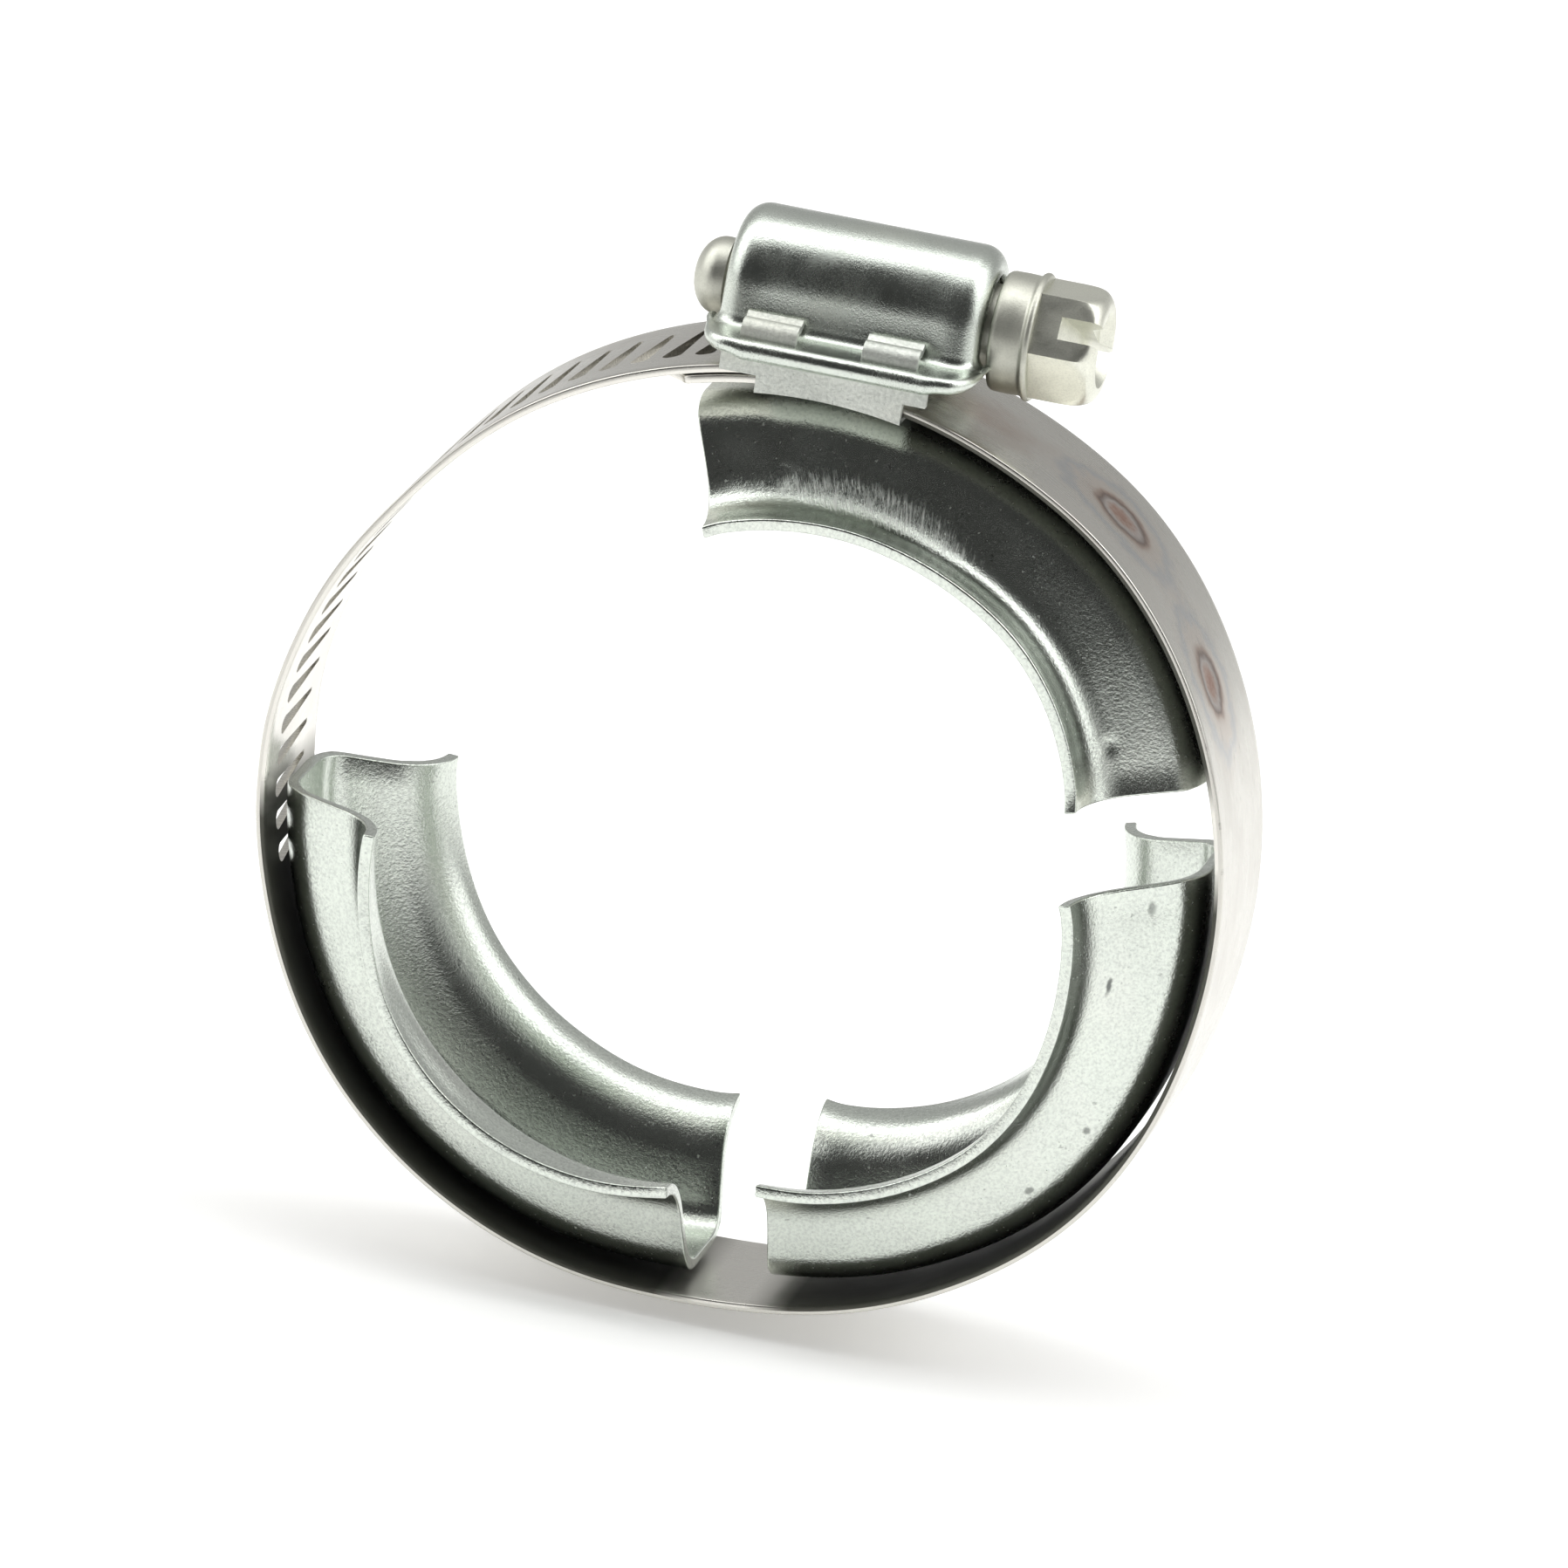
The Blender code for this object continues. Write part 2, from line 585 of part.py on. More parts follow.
def make_screw(mat):
    x_left = COVER_X - COVER_HALF
    x_right = COVER_X + COVER_HALF
    pivot = Vector((HX, 0.0, AXIS_Z))
    # core, end dome on the left, neck and collar on the right
    dome_r = 2.90 * MM
    profile = []
    tip = x_left - 3.10 * MM
    for i in range(6):
        a = math.radians(8.0 + 82.0 * i / 5)
        profile.append((tip + 2.3 * MM * (1.0 - math.cos(a)), dome_r * math.sin(a)))
    profile += [(x_left - 0.15 * MM, dome_r), (x_left + COVER_T + 0.35 * MM, dome_r)]
    profile += [(x_left + COVER_T + 0.45 * MM, CORE_R), (x_right - 0.9 * MM, CORE_R)]
    collar = x_right + 0.45 * MM
    profile += [(collar, CORE_R), (collar + 0.01 * MM, 4.15 * MM), (collar + 0.3 * MM, 4.45 * MM)]
    profile += [(collar + 2.5 * MM, 4.45 * MM), (collar + 2.65 * MM, 4.75 * MM)]
    profile += [(collar + 3.0 * MM, 4.75 * MM), (collar + 3.2 * MM, 4.68 * MM)]
    bm = bmesh.new()
    turned(bm, profile, AXIS_Z, 30)
    screw = add_object("worm_screw", bm, mat, pivot, smooth=30.0)

    bm = worm_ridge()
    ridge = as_cutter(add_object("add_worm_ridge", bm))
    boolean(screw, ridge, "UNION")

    # hex head with a rounded nose; two flats are level, facing +Z and -Z
    h0 = collar + 2.8 * MM
    h1 = h0 + HEAD_LENGTH
    bm = bmesh.new()
    nose = ((h0, 6.0), (h1 - 2.0 * MM, 5.4), (h1 - 1.3 * MM, 4.62), (h1 - 0.8 * MM, 4.40),
            (h1 - 0.4 * MM, 4.05), (h1 - 0.12 * MM, 3.55), (h1, 3.10))
    loft(bm, [hex_ring(x, r * MM) for x, r in nose])
    head = as_cutter(add_object("add_hex_head", bm))
    boolean(screw, head, "UNION")

    slot = as_cutter(add_object("cut_driver_slot", slot_cutter(h1)))
    boolean(screw, slot, "DIFFERENCE")
    # shallow dish in the end of the head
    bm = bmesh.new()
    turned(bm, ((h1 - 0.9 * MM, 2.0 * MM), (h1 + 0.4 * MM, 3.2 * MM)), AXIS_Z, 24)
    dish = as_cutter(add_object("cut_head_dish", bm))
    boolean(screw, dish, "DIFFERENCE")
    return screw


def main():
    clear_scene()
    stainless = make_material("stainless_band", (0.62, 0.60, 0.58), 0.28)
    plated = make_material("bright_plated_steel", (0.70, 0.71, 0.69), 0.22)
    dull = make_material("dull_plated_steel", (0.60, 0.62, 0.60), 0.42)
    zinc = make_material("zinc_plated_screw", (0.66, 0.66, 0.60), 0.30)
    make_band(stainless)
    centres = {"retainer_1": RET1_C}
    pivots = {"retainer_2": hinge_point(HINGE_1), "retainer_3": hinge_point(HINGE_2)}
    for name, start, end, lips, stand_off in RETAINERS:
        centre = centres.get(name, ORIGIN)
        first, last = angle_on(centre, start), angle_on(centre, end)
        if first > last:
            first -= 360.0
        make_retainer(name, first, last, lips, stand_off, centre, plated, pivots.get(name))
    make_cover(plated)
    make_saddle(dull)
    make_screw(zinc)


main()
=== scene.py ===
"""Looks of the worm-drive band clamp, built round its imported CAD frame."""
import json
import math

import bmesh
import bpy
import numpy as np
from mathutils import Matrix, Vector


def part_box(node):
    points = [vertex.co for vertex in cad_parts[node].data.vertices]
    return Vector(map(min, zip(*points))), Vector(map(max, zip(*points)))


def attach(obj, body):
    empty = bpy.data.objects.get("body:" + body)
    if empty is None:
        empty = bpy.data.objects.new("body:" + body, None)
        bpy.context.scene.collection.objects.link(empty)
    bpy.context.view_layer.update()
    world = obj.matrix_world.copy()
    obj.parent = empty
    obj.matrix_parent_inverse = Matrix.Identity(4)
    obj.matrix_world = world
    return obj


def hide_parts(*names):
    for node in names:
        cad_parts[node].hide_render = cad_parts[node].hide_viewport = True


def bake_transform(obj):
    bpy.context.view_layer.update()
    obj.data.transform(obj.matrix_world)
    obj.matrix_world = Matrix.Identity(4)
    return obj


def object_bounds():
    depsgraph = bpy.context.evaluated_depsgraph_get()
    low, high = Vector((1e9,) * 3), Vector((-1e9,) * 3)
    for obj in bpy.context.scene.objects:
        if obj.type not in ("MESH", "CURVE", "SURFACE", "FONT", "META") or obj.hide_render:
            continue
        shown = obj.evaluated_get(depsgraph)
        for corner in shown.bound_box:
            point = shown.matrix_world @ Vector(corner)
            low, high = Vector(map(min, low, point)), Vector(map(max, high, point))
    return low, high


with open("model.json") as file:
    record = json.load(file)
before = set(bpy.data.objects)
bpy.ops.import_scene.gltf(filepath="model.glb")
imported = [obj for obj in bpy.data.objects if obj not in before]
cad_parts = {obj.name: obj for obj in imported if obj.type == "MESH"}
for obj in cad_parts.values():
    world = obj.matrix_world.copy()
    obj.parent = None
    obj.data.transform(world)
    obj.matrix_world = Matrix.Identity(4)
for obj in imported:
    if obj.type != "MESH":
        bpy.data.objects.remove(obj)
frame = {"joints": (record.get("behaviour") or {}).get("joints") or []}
cad_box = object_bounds()

MM = 0.001
JOINTS = {j["name"]: j for j in frame["joints"]}
AXLE = Vector(JOINTS["screw_turn"]["pos_m"])
HINGES = {n: Vector(JOINTS[n]["pos_m"]) for n in ("flex_right", "flex_bottom", "flex_left")}

# ---- band strip -------------------------------------------------------------
BAND_T = 0.64 * MM
BAND_R = 36.30 * MM
BAND_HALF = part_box("band_left_stretch")[1].y
BAND_EDGE = 0.14 * MM          # rounding of the strip's long edges
SLOT_PITCH = 2.50 * MM
SLOT_FRONT_R = 0.72 * MM
SLOT_REAR_R = 0.22 * MM
SLOT_HALF = 3.90 * MM
SLOT_LEAN = 0.90 * MM
TAIL_R = 37.50 * MM
TAIL_C = Vector((1.17, 0.0, -0.75)) * MM
TAIL_END = 81.7
LANE_R = TAIL_R - BAND_T - 0.12 * MM
TONGUE_END = 108.3
TONGUE_TAPER = 4.2
SLOT_ZERO = 107.8
# the ring bows out over each retainer: (ring angle, height in mm, spread in degrees)
RING_BOWS = ((46.0, 0.50, 24.0), (-38.3, 0.72, 20.0), (219.7, 0.50, 24.0),
             (272.7, -0.70, 16.0), (184.7, 0.22, 12.0))
BOW_FADE = (46.0, 28.0)
TAIL_BOWS = ((175.7, 0.28, 10.0), (142.7, -0.42, 12.0))
HEAT_AT = (45.0, -0.5)         # brown heat tint beside the housing, mm along and across
SHADE_END = 93.0               # the painted shade on the inner face ends here, under the housing
SEAM_RIGHT = -37.3             # where one band piece hands over to the next
SEAM_LEFT = 227.7

# ---- retainers --------------------------------------------------------------
RET_1 = (18.3, 104.0)          # ring angles that each retainer spans
RET_2 = (-79.1, 6.9)
RET_3 = (184.9, 270.5)
RET_T = 0.90 * MM
RET_TOP = BAND_R - BAND_T - 0.25 * MM
RET_BASE_HALF = 2.40 * MM
RET_CORNER = 3.00 * MM
RET_FLANK = 20.0
RET_BEND_R = 30.00 * MM        # ring radius where the flank starts to bend
RET_BEND = 4.60 * MM           # radius of that bend
RET_LIP_SLOPE = 8.0
RET_LIP_R = 26.90 * MM
RET_LIP_Y = 11.00 * MM
RET_SHRINK = 2.6
RET_SHADE = (10.3, 12.3, 0.0, 1.0)  # painted shade on the corners where they turn in behind the strip, mm across
RET_SHADE_BACK = (18.6, 21.2, 1.0, 0.0)
RET_TILT = 1.20 * MM
RET_PIVOT = math.radians(24.7)
RET1_C = Vector((math.sin(RET_PIVOT), 0.0, -math.cos(RET_PIVOT))) * RET_TILT
ORIGIN = Vector((0.0, 0.0, 0.0))

# ---- housing and screw ------------------------------------------------------
COVER_X = AXLE.x + 0.20 * MM
COVER_Z = 40.89 * MM
COVER_HALF = 9.70 * MM
COVER_R = 5.65 * MM
COVER_T = 0.70 * MM
COVER_ROUND = 1.70 * MM
COVER_HOLE = 3.75 * MM
COVER_LEAN = 9.0               # the dome's skirt leans outwards, degrees
FLANGE_TOP = 38.80 * MM
BEAD_R = 0.78 * MM
BEAD_DROP = 0.45 * MM
TAB_MID = AXLE.x - 0.45 * MM
TAB_X = 4.55 * MM
TAB_HALF = 2.10 * MM
WALL_OUT = 8.00 * MM
WALL_T = 0.60 * MM
FLOOR_T = 0.36 * MM
WORM_R = 4.12 * MM
CORE_R = 3.30 * MM
WORM_HALF = 7.10 * MM
HEX_AF = 7.94 * MM
HEAD_LENGTH = 5.10 * MM
SLOT_TURN = 30.0               # the driver slot falls this much towards the back, degrees

# ---- studio -----------------------------------------------------------------
FLOOR_DROP = 1.6 * MM          # clearance for the tightest pose
FLOOR_FRONT = -0.60
FLOOR_SIDE = 2.5


# ---- mesh helpers -----------------------------------------------------------
def outward(mesh):
    """Turn all faces outwards."""
    bm = bmesh.new()
    bm.from_mesh(mesh)
    bmesh.ops.recalc_face_normals(bm, faces=bm.faces)
    bm.to_mesh(mesh)
    bm.free()


def finish_mesh(name, mesh, material, angle=35.0):
    """Object with outward normals and smooth shading between sharp edges."""
    outward(mesh)
    mesh.materials.append(material)
    mesh.shade_smooth()
    mesh.set_sharp_from_angle(angle=math.radians(angle))
    obj = bpy.data.objects.new(name, mesh)
    bpy.context.scene.collection.objects.link(obj)
    return obj


def running(points):
    """Distance along a polyline, starting at zero."""
    steps = np.linalg.norm(np.diff(points, axis=0), axis=1)
    return np.concatenate([[0.0], np.cumsum(steps)])


def skin(name, grid, along=None, across=None, closed=True, caps=True):
    """Mesh over a grid of points [station, profile, xyz], with a UV map in millimetres."""
    grid = np.asarray(grid, float)
    rows, cols = grid.shape[:2]
    wrap = cols if closed else cols - 1
    if along is None:
        along = running(grid[:, cols // 4])
    if across is None:
        middle = grid[rows // 2]
        across = running(np.vstack([middle, middle[:1]]) if closed else middle)
    i, j = np.meshgrid(np.arange(rows - 1), np.arange(wrap), indexing="ij")
    k = (j + 1) % cols
    faces = np.stack([i * cols + j, i * cols + k, (i + 1) * cols + k, (i + 1) * cols + j], -1)
    faces = faces.reshape(-1, 4).tolist()
    u, v = np.asarray(along) / MM, np.asarray(across) / MM
    uv = np.stack([np.stack([u[i], v[j]], -1), np.stack([u[i], v[j + 1]], -1),
                   np.stack([u[i + 1], v[j + 1]], -1), np.stack([u[i + 1], v[j]], -1)], 2)
    uv = uv.reshape(-1, 2)
    if caps and closed:
        faces.append(list(range(cols)))
        faces.append(list(range((rows - 1) * cols, rows * cols)))
        first = np.stack([np.full(cols, u[0]), v[:cols]], -1)
        last = np.stack([np.full(cols, u[-1]), v[:cols]], -1)
        uv = np.vstack([uv, first, last])
    mesh = bpy.data.meshes.new(name)
    mesh.from_pydata(grid.reshape(-1, 3).tolist(), [], faces)
    layer = mesh.uv_layers.new(name="grain")
    layer.data.foreach_set("uv", uv.astype(np.float32).ravel())
    return mesh


def apply_modifiers(obj):
    """Replace the object's mesh by its evaluated one."""
    graph = bpy.context.evaluated_depsgraph_get()
    mesh = bpy.data.meshes.new_from_object(obj.evaluated_get(graph))
    obj.modifiers.clear()
    old = obj.data
    obj.data = mesh
    mesh.name = old.name
    bpy.data.meshes.remove(old)
    return obj


def cut(obj, cutter_mesh, operation="DIFFERENCE"):
    """Boolean with a throw-away cutter."""
    outward(cutter_mesh)
    cutter = bpy.data.objects.new("cutter", cutter_mesh)
    bpy.context.scene.collection.objects.link(cutter)
    mod = obj.modifiers.new("cut", "BOOLEAN")
    mod.operation = operation
    mod.object = cutter
    mod.solver = "EXACT"
    apply_modifiers(obj)
    bpy.data.objects.remove(cutter)
    return obj


def join_meshes(name, meshes):
    """One mesh out of several."""
    bm = bmesh.new()
    for mesh in meshes:
        bm.from_mesh(mesh)
        bpy.data.meshes.remove(mesh)
    joined = bpy.data.meshes.new(name)
    bm.to_mesh(joined)
    bm.free()
    return joined


def soften(obj, width, angle=32.0, segments=3):
    """Small rounded edges where two faces meet at an angle."""
    mod = obj.modifiers.new("edges", "BEVEL")
    mod.width = width
    mod.segments = segments
    mod.limit_method = "ANGLE"
    mod.angle_limit = math.radians(angle)
    mod.harden_normals = True
    return obj


def arc(cx, cy, radius, start, end, count):
    a = np.radians(np.linspace(start, end, count))
    return np.stack([cx + radius * np.cos(a), cy + radius * np.sin(a)], -1)


def smooth_step(x):
    x = np.clip(x, 0.0, 1.0)
    return x * x * (3.0 - 2.0 * x)


def bows(lumps, degs):
    """Sum of smooth lumps along an arc, in metres."""
    total = np.zeros(np.shape(degs))
    for at, height, spread in lumps:
        away = np.mod(np.asarray(degs) - at + 180.0, 360.0) - 180.0
        total = total + height * MM * np.exp(-(away / spread) ** 2)
    return total


def ring_bow(degs):
    """How far the ring lies outside its mean circle."""
    wrapped = np.mod(degs, 360.0)
    fade = np.where(wrapped < 180.0, smooth_step((wrapped - BOW_FADE[0]) / BOW_FADE[1]), 0.0)
    return bows(RING_BOWS, degs) * (1.0 - fade)


def ripple(u, v, seed, size):
    """Smooth unevenness between -1 and 1 over a surface, u and v in metres."""
    rng = np.random.default_rng(seed)
    total = np.zeros(np.broadcast(u, v).shape)
    for _ in range(9):
        a, phase = rng.uniform(0.0, 2.0 * math.pi, 2)
        f = 2.0 * math.pi / size * rng.uniform(0.5, 1.5)
        total = total + np.sin(f * (u * math.cos(a) + v * math.sin(a)) + phase)
    return total / 4.5


# ---- material helpers -------------------------------------------------------
class Shader:
    """A Principled material and short calls that add its nodes."""

    def __init__(self, name, metallic=1.0):
        self.mat = bpy.data.materials.new(name)
        self.mat.use_nodes = True
        self.tree = self.mat.node_tree
        self.bsdf = self.tree.nodes["Principled BSDF"]
        self.bsdf.inputs["Metallic"].default_value = metallic

    def node(self, kind, inputs=None, **values):
        """Add a node; each input is a constant or another node's output."""
        made = self.tree.nodes.new(kind)
        for key, value in values.items():
            setattr(made, key, value)
        for name, value in (inputs or {}).items():
            if isinstance(value, bpy.types.NodeSocket):
                self.link(value, made.inputs[name])
            else:
                made.inputs[name].default_value = value
        return made

    def link(self, source, target):
        self.tree.links.new(source, target)

    def math(self, operation, a, b=0.0):
        made = self.node("ShaderNodeMath", operation=operation)
        for socket, value in zip(made.inputs, (a, b)):
            if isinstance(value, (int, float)):
                socket.default_value = value
            else:
                self.link(value, socket)
        return made.outputs[0]

    def add(self, a, b):
        return self.math("ADD", a, b)

    def times(self, a, b):
        return self.math("MULTIPLY", a, b)

    def place(self, space, scale, offset=(0.0, 0.0, 0.0), turn=0.0):
        """Texture position: the grain UV in mm or the object's own place in m."""
        if space == "grain":
            source = self.node("ShaderNodeUVMap", uv_map="grain").outputs[0]
        else:
            source = self.node("ShaderNodeTexCoord").outputs["Object"]
        rotation = (0.0, 0.0, math.radians(turn))
        return self.node("ShaderNodeMapping", {"Vector": source, "Scale": scale, "Location": offset,
                                               "Rotation": rotation}).outputs[0]

    def noise(self, vector, detail=4.0, rough=0.6, distortion=0.0):
        return self.node("ShaderNodeTexNoise", {"Vector": vector, "Scale": 1.0, "Detail": detail,
                                                "Roughness": rough, "Distortion": distortion}).outputs["Fac"]

    def ramp(self, value, stops):
        """Colour ramp; stops are (position, colour or grey)."""
        made = self.node("ShaderNodeValToRGB")
        self.link(value, made.inputs[0])
        ramp = made.color_ramp
        while len(ramp.elements) < len(stops):
            ramp.elements.new(0.5)
        for element, (position, colour) in zip(ramp.elements, stops):
            element.position = position
            rgb = (colour,) * 3 if isinstance(colour, (int, float)) else colour
            element.color = (*rgb, 1.0)
        return made.outputs[0]

    def spread(self, value, low, high, new_low, new_high):
        return self.node("ShaderNodeMapRange", {"Value": value, "From Min": low, "From Max": high,
                                                "To Min": new_low, "To Max": new_high}).outputs[0]

    def mix(self, factor, a, b):
        made = self.node("ShaderNodeMix", data_type="RGBA")
        for socket, value in zip((made.inputs[0], made.inputs[6], made.inputs[7]), (factor, a, b)):
            if isinstance(value, (int, float)):
                socket.default_value = value
            elif isinstance(value, tuple):
                socket.default_value = (*value, 1.0)
            else:
                self.link(value, socket)
        return made.outputs[2]

    def bump(self, height, depth, normal=None):
        """Bump of a real depth in metres."""
        made = self.node("ShaderNodeBump", {"Height": height, "Distance": depth, "Strength": 1.0})
        if normal is not None:
            self.link(normal, made.inputs["Normal"])
        return made.outputs[0]

    def spot(self, vector, centre, radii, wobble=None):
        """Distance from a centre in the grain UV, 1 at the given radii."""
        moved = self.node("ShaderNodeMapping", {"Vector": vector, "Location": (*centre, 0.0),
                                                "Scale": (*radii, 1.0)}, vector_type="TEXTURE")
        length = self.node("ShaderNodeVectorMath", operation="LENGTH")
        self.link(moved.outputs[0], length.inputs[0])
        value = length.outputs["Value"]
        return self.add(value, wobble) if wobble is not None else value

    def set(self, colour=None, rough=None, normal=None):
        for name, source in (("Base Color", colour), ("Roughness", rough), ("Normal", normal)):
            if source is not None:
                self.link(source, self.bsdf.inputs[name])
        return self.mat


def plated_material(name, tint, rough, grain=0.16, speckle=1.0, scuffs=0.0):
    """Zinc-plated pressing: fine crystalline grain, soft stains and wear."""
    s = Shader(name)
    fine = s.noise(s.place("object", (1000.0 / grain,) * 3), detail=3.0, rough=0.7)
    cloud = s.noise(s.place("object", (260.0,) * 3, (3.1, 0.4, 1.7)), detail=4.0)
    patch = s.noise(s.place("object", (90.0,) * 3, (7.3, 2.2, 5.1)), detail=3.0, distortion=0.6)
    scratch = s.noise(s.place("grain", (0.55, 9.0, 1.0)), detail=5.0, rough=0.75)
    pits = s.noise(s.place("object", (2100.0,) * 3, (1.3, 9.4, 2.7)), detail=2.0)
    dark = tuple(c * 0.80 for c in tint)
    warm = (tint[0] * 1.02, tint[1] * 0.985, tint[2] * 0.95)
    colour = s.mix(s.spread(cloud, 0.30, 0.70, 0.0, 0.55), tint, dark)
    colour = s.mix(s.spread(patch, 0.52, 0.72, 0.0, 0.5), colour, warm)
    colour = s.mix(s.spread(fine, 0.35, 0.75, 0.0, 0.22 * speckle), colour, (0.20, 0.22, 0.21))
    specks = s.spread(pits, 0.70, 0.76, 0.0, 0.55)
    colour = s.mix(specks, colour, (0.16, 0.17, 0.16))
    roughness = s.spread(cloud, 0.30, 0.72, rough - 0.05, rough + 0.10)
    roughness = s.add(roughness, s.spread(fine, 0.3, 0.8, -0.03, 0.10 * speckle))
    roughness = s.add(roughness, s.spread(patch, 0.45, 0.75, 0.0, 0.08))
    normal = s.bump(fine, 0.0011 * grain * MM * 100.0 * speckle)
    normal = s.bump(cloud, (0.002 + 0.012 * scuffs) * MM, normal)
    normal = s.bump(scratch, (0.0018 + 0.010 * scuffs) * MM, normal)
    normal = s.bump(pits, 0.003 * MM, normal)
    return s.set(colour, roughness, normal)


def retainer_material(name, ends, scuff_at=None, nicks=()):
    """Plated pressing with die scuffs across the bend, a few nicks, and painted shade on the corners behind
    the strip, fading at the ends.
    """
    s = Shader(name)
    tint = (0.71, 0.755, 0.69)
    uv = s.place("grain", (1.0, 1.0, 1.0))
    fine = s.noise(s.place("object", (4300.0,) * 3), detail=3.0, rough=0.65)
    cloud = s.noise(s.place("object", (240.0,) * 3, (2.1, 5.4, 0.7)), detail=5.0)
    patch = s.noise(s.place("object", (75.0,) * 3, (4.3, 1.2, 8.1)), detail=3.0, distortion=0.7)
    draw = s.noise(s.place("grain", (0.35, 7.0, 1.0)), detail=5.0, rough=0.7)
    pits = s.noise(s.place("object", (1500.0,) * 3, (6.3, 0.4, 3.7)), detail=2.0)
    colour = s.mix(s.spread(cloud, 0.32, 0.70, 0.0, 0.22), tint, (0.60, 0.62, 0.60))
    colour = s.mix(s.spread(patch, 0.50, 0.72, 0.0, 0.3), colour, (0.73, 0.72, 0.685))
    colour = s.mix(s.spread(fine, 0.42, 0.72, 0.0, 0.34), colour, (0.22, 0.24, 0.23))
    colour = s.mix(s.spread(pits, 0.70, 0.75, 0.0, 0.5), colour, (0.17, 0.18, 0.17))
    dust = s.noise(s.place("object", (2700.0,) * 3, (2.9, 8.4, 5.2)), detail=2.0)
    roughness = s.spread(cloud, 0.30, 0.72, 0.17, 0.25)
    roughness = s.add(roughness, s.spread(fine, 0.3, 0.8, -0.02, 0.06))
    roughness = s.add(roughness, s.spread(dust, 0.69, 0.75, 0.0, 0.3))
    normal = s.bump(fine, 0.0280 * MM)
    normal = s.bump(draw, 0.0022 * MM, normal)
    across = s.node("ShaderNodeSeparateXYZ")
    s.link(uv, across.inputs[0])
    # painted shade: the corners that turn in behind the strip are coloured dark
    corner_painted_shade = s.times(s.spread(across.outputs["Y"], *RET_SHADE),
                    s.spread(across.outputs["Y"], *RET_SHADE_BACK))
    # the painted shade fades out towards the retainer's ends
    for end, reach in ends:
        corner_painted_shade = s.times(corner_painted_shade, s.spread(across.outputs["X"], end, end + reach, 0.15, 1.0))
    colour = s.mix(corner_painted_shade, colour, (0.10, 0.11, 0.098))
    roughness = s.add(roughness, s.times(corner_painted_shade, 0.15))
    if scuff_at is not None:
        centre, radii = scuff_at
        along = s.place("grain", (1.0, 1.0, 1.0), turn=24.0)
        thin = s.node("ShaderNodeMapping", {"Vector": along, "Scale": (5.2, 0.42, 1.0)})
        lines = s.noise(thin.outputs[0], detail=4.0, rough=0.75)
        wobble = s.spread(s.noise(s.place("grain", (0.8, 0.8, 1.0))), 0.0, 1.0, -0.35, 0.35)
        mask = s.spread(s.spot(uv, centre, radii, wobble), 0.55, 1.05, 1.0, 0.0)
        height = s.times(lines, mask)
        normal = s.bump(height, 0.060 * MM, normal)
        streak = s.times(s.spread(lines, 0.50, 0.60, 0.0, 1.0), mask)
        colour = s.mix(streak, colour, (0.82, 0.84, 0.80))
        roughness = s.add(roughness, s.times(streak, 0.34))
    for centre, radii, strength in nicks:
        wobble = s.spread(s.noise(s.place("grain", (2.2, 2.2, 1.0), (*centre, 0.0))), 0.0, 1.0, -0.6, 0.6)
        mask = s.spread(s.spot(uv, centre, radii, wobble), 0.5, 1.1, strength, 0.0)
        colour = s.mix(mask, colour, (0.07, 0.075, 0.075))
        roughness = s.add(roughness, s.times(mask, 0.2))
        normal = s.bump(mask, -0.02 * MM, normal)
    return s.set(colour, roughness, normal)


def dull_inside_painted_light_and_shade(s, uv, colour, roughness, spans):
    """The strip's inner face: lightened all over as painted light, and dull with painted shade where a
    retainer covers it (degrees).
    """
    split = s.node("ShaderNodeSeparateXYZ")
    s.link(uv, split.inputs[0])
    inner = s.spread(split.outputs["Y"], 30.0, 31.0, 0.0, 1.0)
    # painted light: the whole inner face is coloured lighter
    colour = s.mix(s.times(inner, 0.7), colour, (0.83, 0.81, 0.76))
    for low, high in spans:
        u0, u1 = (math.radians(a) * BAND_R / MM for a in (low, high))
        # painted shade on the inner face under each retainer
        near = s.times(s.spread(split.outputs["X"], u0 - 1.5, u0 + 2.0, 0.0, 1.0),
                      s.spread(split.outputs["X"], u1 - 2.0, u1 + 1.5, 1.0, 0.0))
        mask = s.times(near, inner)
        colour = s.mix(mask, colour, (0.11, 0.11, 0.095))
        roughness = s.add(roughness, s.times(mask, 0.25))
    return colour, roughness


